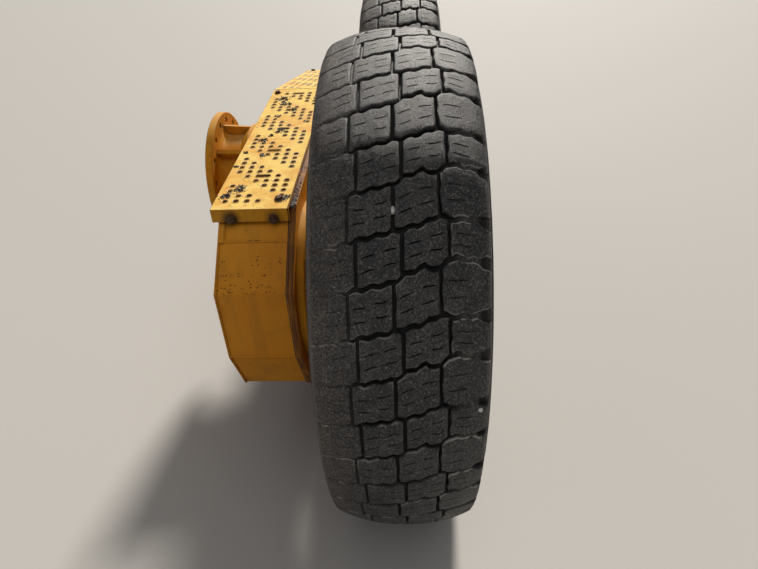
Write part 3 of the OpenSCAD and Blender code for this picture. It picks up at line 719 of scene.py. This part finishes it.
def treadSlice():
    s = tyreSettings
    cuts = s["cuts"]
    tear = random.Random(s["tearSeed"])
    points, sinks, lights, edges = [], [], [], []

    def addLine(line, depths, shades=None, closed=True):
        start, count = len(points), len(line)
        points.extend(line)
        sinks.extend(depths)
        lights.extend(shades or [0.0] * count)
        edges.extend((start + k, start + (k + 1) % count) for k in range(count if closed else count - 1))

    # The slice ends on the middle of an even cross groove, and its sides meet the sidewalls
    ends = stopsBetween(0, -s["edge"], s["edge"])
    low, high = ([Vector((e, pathAt(i, e))) for e in ends] for i in (0, 2))
    shares = [k / s["columns"] for k in range(1, s["columns"])]
    rightSide = [low[-1].lerp(high[-1], share) for share in shares]
    leftSide = [low[0].lerp(high[0], share) for share in shares]
    border = low + rightSide + high[::-1] + leftSide[::-1]
    addLine(border, [lookUp(s["depths"], p.x) for p in border])
    for i in range(2):
        for column in range(4):
            left, right = blockSides(i, column)
            outline, tornAndHighlightShares = blockOutline(i, left, right)
            reach = s["torn"][column]
            outline = [p + Vector((tear.uniform(-1, 1), tear.uniform(-1, 1))) * reach for p in outline]
            for grow, depth, share, light in s["rings"]:
                ring = moved(outline, grow)
                sunk = [min(depth, lookUp(s["depths"], p.x) * share) for p in ring]
                addLine(ring, sunk, [light * s["tornAndHighlightByColumn"][column] * torn for torn in tornAndHighlightShares])
            lines = blockCuts(i, column, left, right)
            side = Vector((0, cuts["half"]))
            for middle in lines:
                loop = [middle[0]] + [p - side for p in middle[1:-1]] + [middle[-1]]
                loop += [p + side for p in middle[-2:0:-1]]
                addLine(loop, [0] * len(loop))
                addLine(middle[1:-1], [cuts["depth"][column]] * (len(middle) - 2), closed=False)
            spots = faceSpots(i, left, right, moved(outline, s["inset"]), lines)
            points.extend(spots)
            sinks.extend([0] * len(spots))
            lights.extend([0] * len(spots))
    flat, _, faces, sources, _, _ = delaunay_2d_cdt(points, edges, [], 1, 1e-4, True)
    made, depths, torn = [], [], []
    for place, source in zip(flat, sources):
        sink = sinks[source[0]] if source else lookUp(s["depths"], place.x)
        torn.append(lights[source[0]] if source else 0)
        r, across = treadPoint(place.x, sink)
        angle = place.y / s["radius"]
        made.append((r * math.cos(angle), -across, r * math.sin(angle)))
        depths.append(sink / s["deepest"])
    return made, depths, torn, [list(reversed(face)) for face in faces], low, high


def sideRadii():
    s = tyreSettings
    count = s["sideSteps"]
    radii = {s["footRadius"] - (s["footRadius"] - s["beadTop"]) * k / count for k in range(1, count + 1)}
    for middle, width, height in s["ribs"]:
        radii = {r for r in radii if abs(r - middle) > width / 2 + s["ribClear"]}
        for half in (width / 2, width / 2 + s["ribFlank"]):
            radii |= {middle + half, middle - half}
    return sorted(radii, reverse=True)


# Half the tyre's width at a radius: one arc up from the bulge, one down, and ribs
def sideHalf(r):
    s = tyreSettings
    up = r > s["bulgeRadius"]
    limit = math.radians(s["arcUp"] if up else s["arcDown"])
    reach = (s["footRadius"] if up else s["beadTop"]) - s["bulgeRadius"]
    foot = s["footHalf"] if up else s["beadHalf"] + 2
    a = math.asin((r - s["bulgeRadius"]) / reach * math.sin(limit))
    half = s["bulgeHalf"] - (s["bulgeHalf"] - foot) * (1 - math.cos(a)) / (1 - math.cos(limit))
    for middle, width, height in s["ribs"]:
        if abs(r - middle) < width / 2 + 0.1:
            half += height
    return half


def tyreSlice(name):
    s = tyreSettings
    points, depths, torn, faces, low, high = treadSlice()
    outer = [(s["footRadius"], s["footHalf"])] + [(r, sideHalf(r)) for r in sideRadii()]
    outer += s["bead"] + s["cavity"]
    loop = outer + [(r, -half) for r, half in outer[::-1]]
    span = high[0].y - low[0].y
    base = len(points)
    for k, (r, half) in enumerate(loop):
        offset = low[-1].y + (low[0].y - low[-1].y) * (k / (len(loop) - 1))
        for column in range(s["columns"] + 1):
            angle = (offset + span * column / s["columns"]) / s["radius"]
            points.append((r * math.cos(angle), -half, r * math.sin(angle)))
    width = s["columns"] + 1
    for k in range(len(loop) - 1):
        for column in range(s["columns"]):
            corner = base + k * width + column
            faces.append([corner, corner + 1, corner + width + 1, corner + width])
    piece = meshPiece(name, points, faces)
    sides = [0.0] * (len(points) - base)
    addAttribute(piece, "depth", depths + sides)
    addAttribute(piece, "torn", torn + sides)
    addAttribute(piece, "sidewall", [0.0] * base + [1.0] * len(sides))
    return piece


def ringTree():
    tree, start = newTree("tyreRing", Int=["Slices"], Material=["Rubber"],
                          Float=["Wear", "Wear Scale", "Seed", "Merge", "Sharp"])
    marks = addNode(tree, "GeometryNodePoints", {"Count": start["Slices"]})
    step = doMath(tree, "DIVIDE", -2 * math.pi, start["Slices"])
    angle = product(tree, addNode(tree, "GeometryNodeInputIndex"), step)
    turn = addNode(tree, "ShaderNodeCombineXYZ", {"Y": angle})
    turn = addNode(tree, "FunctionNodeEulerToRotation", {0: turn})
    ring = instancesOn(tree, marks, start["Geometry"], Rotation=turn)
    ring = addNode(tree, "GeometryNodeMergeByDistance", {"Geometry": ring, "Distance": start["Merge"]})
    rough = doMath(tree, "SUBTRACT", seededNoise(tree, start, start["Wear Scale"], 2.0, "Fac"), 0.5)
    normal = addNode(tree, "GeometryNodeInputNormal")
    ring = shaded(tree, pushed(tree, ring, normal, product(tree, rough, start["Wear"])))
    bend = addNode(tree, "GeometryNodeInputMeshEdgeAngle")
    keen = addNode(tree, "FunctionNodeCompare", {0: bend, 1: start["Sharp"]}, operation="GREATER_THAN")
    inputs = {"Geometry": ring, "Selection": keen, "Shade Smooth": False}
    ring = addNode(tree, "GeometryNodeSetShadeSmooth", inputs, domain="EDGE")
    return endTree(tree, ring, start["Rubber"])


tyreRing = ringTree()
for end, wear in tyreWear.items():
    tyreSettings.update(wear)
    tyre = tyreSlice(end + "_worn_tyre")
    runNodes(tyre, tyreRing, {
        **tyreSettings["nodes"], "Slices": tyreSettings["pitches"] // 2, "Seed": wear["seed"],
        "Rubber": materials["tyre_rubber"],
    })
    rimLow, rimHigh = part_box(end + "_rim")
    tyreLow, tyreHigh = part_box(end + "_tyre")
    hub = Vector(((rimLow[0] + rimHigh[0]) / 2, (tyreLow[1] + tyreHigh[1]) / 2, (rimLow[2] + rimHigh[2]) / 2))
    spin = Matrix.Rotation(-math.radians(tyreSettings["turn"]), 4, "Y")
    tyre.data.transform(Matrix.Translation(hub) @ spin)
    finishPiece(tyre, end + "_wheel")
    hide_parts(end + "_tyre")

# Walkway: raised rims round the punched holes, and dark soil in them, which also paints the shade inside the
# holes

walkwaySettings = {
    "ridge": (38, 329), "end": (883, 236), "middle": 349,
    "rows": {"rear": 30, "front": 28}, "seeds": {"rear": 4, "front": 23},
    "columns": 6, "along": 28.5, "across": 29.5, "margin": 43,
    "cycle": 6, "run": 4, "slotRow": 5, "slotColumn": 2, "around": 16,
    # Profiles, with columns: distance from the hole's middle, height over the plate
    "rims": {
        "profile": [(7.4, -3.0), (7.1, -1.2), (7.7, 0.2), (8.7, 1.4), (9.5, 1.7), (10.3, 0.9), (10.9, 0.0),
                    (10.9, -0.6)],
        "closed": True, "heights": (-0.25, 0.1), "share": 2.0, "finish": "raised_rims",
    },
    # Dark soil plugs sunk in the holes: soil, and painted shade inside the holes
    "soil": {
        "profile": [(7.4, -3.0), (7.4, -0.3), (4.2, 0.6)],
        "closed": False, "heights": (-9.0, -4.6), "share": 0.9, "finish": "soil",
    },
    "smallest": (0.95, 0.95, 0.8), "largest": (1.04, 1.04, 1.15),
}


def punchTree():
    s = walkwaySettings
    tree, start = newTree("punchedRows", Material=["Finish"],
                          Int=["Rows", "Columns", "Cycle", "Run", "Slot Row", "Slot Column", "Seed"],
                          Float=["Along", "Across", "Margin", "Slots", "Share", "Low", "High"])
    columns = start["Columns"]
    marks = addNode(tree, "GeometryNodePoints", {"Count": product(tree, start["Rows"], columns)})
    index = addNode(tree, "GeometryNodeInputIndex")
    row = doMath(tree, "FLOOR", doMath(tree, "DIVIDE", doMath(tree, "ADD", index, 0.5), columns))
    column = doMath(tree, "SUBTRACT", index, product(tree, row, columns))
    half = product(tree, doMath(tree, "SUBTRACT", columns, 1.0), 0.5)
    slotShift = product(tree, start["Slots"], 0.5)
    columnAt = doMath(tree, "ADD", doMath(tree, "SUBTRACT", column, half), slotShift)
    inputs = {"Min": start["Low"], "Max": start["High"], "Seed": start["Seed"]}
    place = addNode(tree, "ShaderNodeCombineXYZ", {
        0: weighted(tree, start["Margin"], (row, start["Along"])),
        1: product(tree, columnAt, start["Across"]),
        2: addNode(tree, "FunctionNodeRandomValue", inputs, 1, data_type="FLOAT"),
    })
    marks = addNode(tree, "GeometryNodeSetPosition", {"Geometry": marks, "Position": place})
    # Which places are punched
    band = doMath(tree, "FLOORED_MODULO", doMath(tree, "ADD", row, column), start["Cycle"])
    punched = doMath(tree, "LESS_THAN", band, start["Run"])
    inCycle = doMath(tree, "FLOORED_MODULO", row, start["Cycle"])
    onRow = doMath(tree, "COMPARE", inCycle, start["Slot Row"], 0.1)
    firstColumn = doMath(tree, "COMPARE", column, start["Slot Column"], 0.1)
    bothColumns = doMath(tree, "COMPARE", column, doMath(tree, "ADD", start["Slot Column"], 0.5), 0.6)
    rounds = product(tree, punched, doMath(tree, "SUBTRACT", 1.0, product(tree, onRow, bothColumns)))
    inputs = {0: start["Slots"], 2: rounds, 3: product(tree, onRow, firstColumn)}
    chosen = addNode(tree, "ShaderNodeMix", inputs, data_type="FLOAT")
    inputs = {"Min": 0.0, "Max": 1.0, "Seed": doMath(tree, "ADD", start["Seed"], 5.0)}
    draw = addNode(tree, "FunctionNodeRandomValue", inputs, 1, data_type="FLOAT")
    kept = product(tree, chosen, doMath(tree, "LESS_THAN", draw, start["Share"]))
    inputs = {0: s["smallest"], 1: s["largest"], "Seed": doMath(tree, "ADD", start["Seed"], 9.0)}
    size = addNode(tree, "FunctionNodeRandomValue", inputs, data_type="FLOAT_VECTOR")
    rims = instancesOn(tree, marks, start["Geometry"], Selection=kept, Scale=size)
    return endTree(tree, shaded(tree, rims), start["Finish"])


# A plate's place: X runs along it from its end, and Y outboard on the rear plate, inboard on the front one
def platePlace(end):
    s = walkwaySettings
    side = -1 if end == "rear" else 1
    angle = math.atan((s["ridge"][1] - s["end"][1]) / (s["end"][0] - side * s["ridge"][0]))
    corner = Vector((-s["end"][0], -s["middle"], s["end"][1])) * mm
    place = Matrix.Translation(corner) @ Matrix.Rotation(-angle, 4, "Y")
    if end == "rear":
        return place @ Matrix.Diagonal((1, -1, 1, 1))
    return Matrix.Diagonal((-1, 1, 1, 1)) @ place


def holePieces(end, kind):
    s = walkwaySettings
    look = s[kind]
    low, high = look["heights"]
    values = {
        "Rows": s["rows"][end], "Columns": s["columns"], "Along": s["along"] * mm, "Across": s["across"] * mm,
        "Margin": s["margin"] * mm, "Cycle": s["cycle"], "Run": s["run"], "Slot Row": s["slotRow"],
        "Slot Column": s["slotColumn"], "Low": low * mm, "High": high * mm, "Seed": s["seeds"][end],
        "Finish": materials[look["finish"]],
    }
    made = []
    # Columns: the form's name, 1 for slots, straight length, share of the places
    for form, slots, straight, share in (("round", 0.0, 0, look["share"]), ("slot", 1.0, s["across"], 2.0)):
        holes = turnedMesh(f"{end}_{form}_{kind}", look["profile"], s["around"], straight, look["closed"])
        runNodes(holes, punchedRows, {**values, "Slots": slots, "Share": share})
        made.append(holes)
    piece = joinPieces(f"{end}_walkway_{kind}", made)
    piece.data.transform(platePlace(end))
    finishPiece(piece, "tandem")


punchedRows = punchTree()
for end in ("rear", "front"):
    for kind in ("rims", "soil"):
        holePieces(end, kind)

# Dried mud on the walkway, stones in the tread and rust pits, all from rough clods


def clodTree():
    tree, start = newTree("clods", Int=["Detail"], Float=["Flat", "Rough", "Rough Scale", "Seed"],
                          Material=["Finish"])
    size = addNode(tree, "GeometryNodeInputNamedAttribute", {"Name": "size"}, data_type="FLOAT")
    marks = addNode(tree, "GeometryNodeMeshToPoints", {"Mesh": start["Geometry"]})
    ball = addNode(tree, "GeometryNodeMeshIcoSphere", {"Radius": 1.0, "Subdivisions": start["Detail"]})
    height = product(tree, size, start["Flat"])
    scale = addNode(tree, "ShaderNodeCombineXYZ", {0: size, 1: size, 2: height})
    clods = instancesOn(tree, marks, ball, Scale=scale)
    rough = seededNoise(tree, start, start["Rough Scale"], 4.0, "Color")
    rough = vectorMath(tree, "SUBTRACT", {0: rough, 1: (0.5, 0.5, 0.62)})    # more down than up
    clods = pushed(tree, clods, rough, start["Rough"])
    return endTree(tree, shaded(tree, clods, False), start["Finish"])


# Spots have columns: x, y, z, size
def clodPiece(name, spots, look, finish):
    piece = meshPiece(name, [spot[:3] for spot in spots], [])
    addAttribute(piece, "size", [spot[3] * mm for spot in spots])
    runNodes(piece, clods, {**look, "Finish": materials[finish]})
    return piece


mudSettings = {
    # Columns: distance along the rear plate from its end, distance outboard of its middle, spread, crumbs
    "clods": [(72, -80, 11, 60), (112, -48, 13, 70), (346, -86, 7, 22), (324, -31, 8, 34), (431, -51, 11, 40),
              (470, -30, 8, 18), (509, -6, 11, 44), (640, -40, 9, 24), (700, 10, 10, 30), (760, -30, 13, 46),
              (815, -48, 16, 60), (50, 78, 9, 34), (64, 90, 7, 18), (590, 62, 6, 14), (250, -92, 5, 12)],
    "stretch": (1.2, 0.8), "crumb": (1.2, 4.6), "pale": 0.34, "outermost": 102, "heap": 1.6, "sit": 0.3,
    # Crumbs get smaller away from their clod, down to the least share
    "shrink": {"first": 1.1, "by": 0.35, "least": 0.35},
    "grit": {"count": 360, "size": (0.5, 1.7), "pale": 0.5, "along": (6, 905), "across": (-101, 101, -60)},
    # Dirt and paint flakes on the outer wall's edge beside the rear plate
    "wall": {"count": 130, "size": 0.7, "pale": 0.6, "start": -848, "reach": 60, "across": (-464, -452),
             "fallFrom": 1000},
    "look": {"Detail": 2, "Flat": 0.6, "Rough": 3.2 * mm, "Rough Scale": 260.0, "Seed": 5.0},
    "seed": 31,    # also places the rust pits, after the mud
}


def crumbSpots(scatter):
    s = mudSettings
    grit, wall, shrink = s["grit"], s["wall"], s["shrink"]
    crumbs = {"soil": [], "dry_mud": []}
    kindFor = lambda pale: "dry_mud" if scatter.random() < pale else "soil"
    for along, across, spread, count in s["clods"]:
        for _ in range(count):
            x, y = (scatter.gauss(at, spread * more) for at, more in zip((along, across), s["stretch"]))
            reach = math.hypot(x - along, y - across) / spread
            size = scatter.uniform(*s["crumb"]) * max(shrink["least"], shrink["first"] - shrink["by"] * reach)
            z = size * s["sit"] + max(0, s["heap"] - reach)
            crumbs[kindFor(s["pale"])].append((x, min(s["outermost"], y), z, size))
    for _ in range(grit["count"]):
        kind = kindFor(grit["pale"])
        x, y = scatter.uniform(*grit["along"]), scatter.triangular(*grit["across"])
        crumbs[kind].append((x, y, s["sit"], scatter.uniform(*grit["size"])))
    toPlate = platePlace("rear").inverted()
    for _ in range(wall["count"]):
        x = wall["start"] + scatter.expovariate(1 / wall["reach"])
        above = Vector((x, scatter.uniform(*wall["across"]), wall["fallFrom"])) * mm
        hit, spot, _, _ = frame["nodes"]["outer_wall"].ray_cast(above, (0, 0, -1))
        if hit:
            x, y, z = toPlate @ spot / mm
            size = scatter.uniform(*s["crumb"]) * wall["size"]
            crumbs[kindFor(wall["pale"])].append((x, y, z + size * s["sit"], size))
    return crumbs


clods = clodTree()
scatter = random.Random(mudSettings["seed"])
crumbs = crumbSpots(scatter)
mud = [clodPiece(earth + "_crumbs", crumbs[earth], mudSettings["look"], earth) for earth in crumbs]
mud = joinPieces("walkway_mud", mud)
mud.data.transform(platePlace("rear"))
finishPiece(mud, "tandem")

stoneSettings = {
    "hub": (-761, -740, -55),
    # Columns: angle over the hub from the front, distance outboard of the middle, distance from the hub, size
    "stones": [(137.7, -10, 676, 8.5), (170.6, 151, 657, 5), (98, 77, 676, 5), (112, -6, 674, 4),
               (205, 70, 675, 5)],
    "look": {"Detail": 3, "Flat": 0.8, "Rough": 4.8 * mm, "Rough Scale": 90.0, "Seed": 8.0},
}


def stoneSpot(angle, across, reach, size):
    x, y, z = stoneSettings["hub"]
    angle = math.radians(angle)
    return (x + reach * math.cos(angle), y - across, z + reach * math.sin(angle), size)


stones = [stoneSpot(*stone) for stone in stoneSettings["stones"]]
stones = clodPiece("tread_stones", stones, stoneSettings["look"], "stone")
finishPiece(stones, "rear_wheel")

# Small rust pits on the rear nose's upper plate, thicker towards its lower bend
pitSettings = {
    "count": 90, "sizes": (0.7, 2.6), "bottom": (-1014.2, 58), "top": (-912, 156), "crowding": 5.0,
    "sides": (272, 444), "clusters": ((290, 14), (372, 18)), "limits": (268, 445),
    "large": [(-947.9, -367, 121.5, 3.0), (-977.2, -389.2, 93.3, 3.4)],
    "look": {"Detail": 2, "Flat": 0.25, "Rough": 1.8 * mm, "Rough Scale": 300.0, "Seed": 4.0},
    # The open end of the upper weld, as a dark plug with the soil finish, which paints the shade inside it;
    # columns: radius, distance along it
    "weldEnd": [(1.8, -17), (2.0, -10), (1.5, 0), (2.2, 9), (1.6, 18)], "weldAround": 8,
    "weldPlace": (-911.6, -356, 157.5),
}


def pitSpots(scatter):
    s = pitSettings
    (x1, z1), (x2, z2) = s["bottom"], s["top"]
    pits = []
    for _ in range(s["count"]):
        share = min(1, scatter.expovariate(s["crowding"]))
        sides = [scatter.uniform(*s["sides"])] + [scatter.gauss(*cluster) for cluster in s["clusters"]]
        side = max(s["limits"][0], min(s["limits"][1], scatter.choice(sides)))
        pits.append((x1 + (x2 - x1) * share, -side, z1 + (z2 - z1) * share, scatter.uniform(*s["sizes"])))
    return pits + s["large"]


pits = clodPiece("rust_pits", pitSpots(scatter), pitSettings["look"], "rust")
# The weld's open end gets a dark soil plug: painted shade inside the opening
weldEnd = turnedMesh("weld_end_shade_plug", pitSettings["weldEnd"], pitSettings["weldAround"])
weldPlace = Matrix.Translation(Vector(pitSettings["weldPlace"]) * mm)
weldEnd.data.transform(weldPlace @ Matrix.Rotation(math.pi / 2, 4, "X"))
weldEnd.data.materials.append(materials["soil"])
finishPiece(joinPieces("nose_rust_pits_and_weld_shade", [pits, weldEnd]), "tandem")

# Weld beads: each line is followed by a bead of overlapping ripples

caseSettings = {
    "outline": [(38, 313), (841, 213.6), (1015, 57), (1015, -147), (943, -307),
                (-943, -307), (-1015, -147), (-1015, 57), (-841, 224.2)],
    "inner": 276, "outer": 448, "lap": 263.5, "seam": 156, "wrap": 861,
    "bead": {"Radius": 3.2 * mm, "Sides": 8, "Ripple": 3.4 * mm, "Thinnest": 0.84, "Swell": 0.22,
             "Uneven": 1.4 * mm, "Uneven Scale": 120.0, "Seed": 2.0},
}


def beadTree():
    tree, start = newTree("weldBead", Int=["Sides"], Material=["Finish"], Float=[
        "Radius", "Ripple", "Thinnest", "Swell", "Uneven", "Uneven Scale", "Seed"])
    line = addNode(tree, "GeometryNodeMeshToCurve", {"Mesh": start["Geometry"]})
    inputs = {"Curve": line, "Length": product(tree, start["Ripple"], 0.5)}
    line = addNode(tree, "GeometryNodeResampleCurve", inputs, mode="LENGTH")
    wobble = seededNoise(tree, start, start["Uneven Scale"], 2.0, "Color")
    wobble = vectorMath(tree, "SUBTRACT", {0: wobble, 1: (0.5, 0.5, 0.5)})
    line = pushed(tree, line, wobble, start["Uneven"])
    everyOther = doMath(tree, "FLOORED_MODULO", addNode(tree, "GeometryNodeInputIndex"), 2.0)
    swell = weighted(tree, start["Thinnest"], (everyOther, start["Swell"]))
    line = addNode(tree, "GeometryNodeSetCurveRadius", {"Curve": line, "Radius": swell})
    inputs = {"Resolution": start["Sides"], "Radius": start["Radius"]}
    profile = addNode(tree, "GeometryNodeCurvePrimitiveCircle", inputs)
    inputs = {"Curve": line, "Profile Curve": profile, "Fill Caps": True}
    bead = addNode(tree, "GeometryNodeCurveToMesh", inputs)
    return endTree(tree, shaded(tree, bead), start["Finish"])


def seamPoint(side):
    top, bend = (caseSettings["outline"][1:3] if side > 0 else caseSettings["outline"][:-3:-1])
    share = (top[1] - caseSettings["seam"]) / (top[1] - bend[1])
    return (top[0] + (bend[0] - top[0]) * share, caseSettings["seam"])


def caseSeams():
    s = caseSettings
    ring = s["outline"]
    flat = lambda path, d: [(x, -d, z) for x, z in path]
    rear, front = seamPoint(-1), seamPoint(1)
    bottom = ring[4][1]
    seams = [flat(ring + ring[:1], s["outer"])]
    seams.append(flat([rear, ring[8], ring[0], ring[1], front], s["inner"]))
    seams.append(flat([(s["wrap"], bottom), (-s["wrap"], bottom)], s["inner"]))
    seams.append(flat([front, ring[2], ring[3], ring[4], (s["wrap"], bottom)], s["lap"]))
    seams.append(flat([(-s["wrap"], bottom), ring[5], ring[6], ring[7], rear], s["lap"]))
    for place in (rear, front, ring[3], ring[6]):
        seams.append([(place[0], -s["lap"] - 2, place[1]), (place[0], -s["outer"] + 2, place[1])])
    return seams


def beadPiece(name, lines, finish):
    points, edges = [], []
    for line in lines:
        edges += [(len(points) + k, len(points) + k + 1) for k in range(len(line) - 1)]
        points += line
    piece = meshPiece(name, points, [], edges)
    runNodes(piece, weldBead, {**caseSettings["bead"], "Finish": materials[finish]})
    return piece


weldBead = beadTree()
seams = caseSeams()
# The outer seam's bead takes the near-black soil finish: soil in the joint, and painted shade of the gap
# there
beads = [beadPiece("painted_beads", seams[1:], "yellow_paint"), beadPiece("soil_and_shade_beads", seams[:1], "soil")]
finishPiece(joinPieces("case_weld_beads", beads), "tandem")

# Bolts on the walkway plates and their lips

boltSettings = {
    # Columns: radius, height
    "dome": [(10.5, 0.0), (13.5, 0.8), (13.5, 2.4), (11.5, 4.6), (8.5, 6.6), (4.2, 7.8), (1.0, 8.0)],
    "washer": [(12.5, -0.5), (13.0, 0.3), (13.0, 1.6), (12.3, 2.2), (6.0, 2.2)],
    "head": [(9.6, 1.5), (9.6, 6.8), (8.7, 8.4), (4.0, 8.9)],
    "around": {"dome": 20, "washer": 20, "head": 6}, "twist": 0.4,
    # Columns: distance outboard of the mount, height over the pivot
    "lip": [(297.5, 207), (410.5, 207)], "lipFace": 882.5,
    # Columns: X and Y on the plate
    "plate": {"rear": [(50, 70.5), (882, -82.5), (882, 78)], "front": [(50, 70.5), (50, -74), (808, -82)]},
}


def boltPiece(form, place):
    bolt = turnedMesh(form, boltSettings[form], boltSettings["around"][form])
    bolt.data.materials.append(materials["fastener_steel"])
    bolt.data.transform(place)
    return bolt


for end, side in (("rear", -1), ("front", 1)):
    bolts = []
    endways = Matrix.Rotation(math.radians(90 * side), 4, "Y")
    for outboard, height in boltSettings["lip"]:
        spot = Vector((side * boltSettings["lipFace"], -outboard, height)) * mm
        bolts.append(boltPiece("dome", Matrix.Translation(spot) @ endways))
    for number, (along, across) in enumerate(boltSettings["plate"][end]):
        spot = platePlace(end) @ Matrix.Translation(Vector((along, across, 0)) * mm)
        spot = spot @ Matrix.Rotation(boltSettings["twist"] * number, 4, "Z")
        bolts += [boltPiece(form, spot) for form in ("washer", "head")]
    finishPiece(joinPieces(end + "_walkway_bolts", bolts), "tandem")

# Floor, lights and world

floorSettings = {"size": 40, "colour": (0.42, 0.405, 0.385), "roughness": 0.85}
floor = meshPiece("floor", [(-1, -1, 0), (1, -1, 0), (1, 1, 0), (-1, 1, 0)], [[0, 1, 2, 3]], scale=1)
floor.data.transform(Matrix.Translation((0, 0, cadBox[0][2])) @ Matrix.Scale(floorSettings["size"], 4))
floorMaterial, _, floorShader, _ = newMaterial("floor")
floorShader.inputs["Base Color"].default_value = (*floorSettings["colour"], 1)
floorShader.inputs["Roughness"].default_value = floorSettings["roughness"]
floor.data.materials.append(floorMaterial)

lightSettings = {
    # Columns: direction that it comes from, strength, spread in degrees, colour
    "key": ((0.80, -0.13, 0.62), 5.0, 8, (1.0, 0.95, 0.87)),
    "fill": ((-0.32, -0.20, 1.0), 0.62, 50, (1.0, 0.95, 0.88)),
    "rim": ((-0.30, 0.85, 0.45), 0.25, 60, (0.95, 0.97, 1.0)),
}
for name, (source, strength, spread, colour) in lightSettings.items():
    lamp = bpy.data.lights.new(name, "SUN")
    lamp.energy = strength
    lamp.angle = math.radians(spread)
    lamp.color = colour
    linkedObject(name, lamp).rotation_euler = Vector(source).to_track_quat("Z", "Y").to_euler()

worldSettings = {"colour": (0.80, 0.86, 0.95, 1), "strength": 0.15}
bpy.context.scene.view_settings.view_transform = "Standard"
world = bpy.data.worlds.new("studio")
bpy.context.scene.world = world
world.use_nodes = True
sky = world.node_tree.nodes["Background"].inputs
sky["Color"].default_value = worldSettings["colour"]
sky["Strength"].default_value = worldSettings["strength"]
print("stage made")
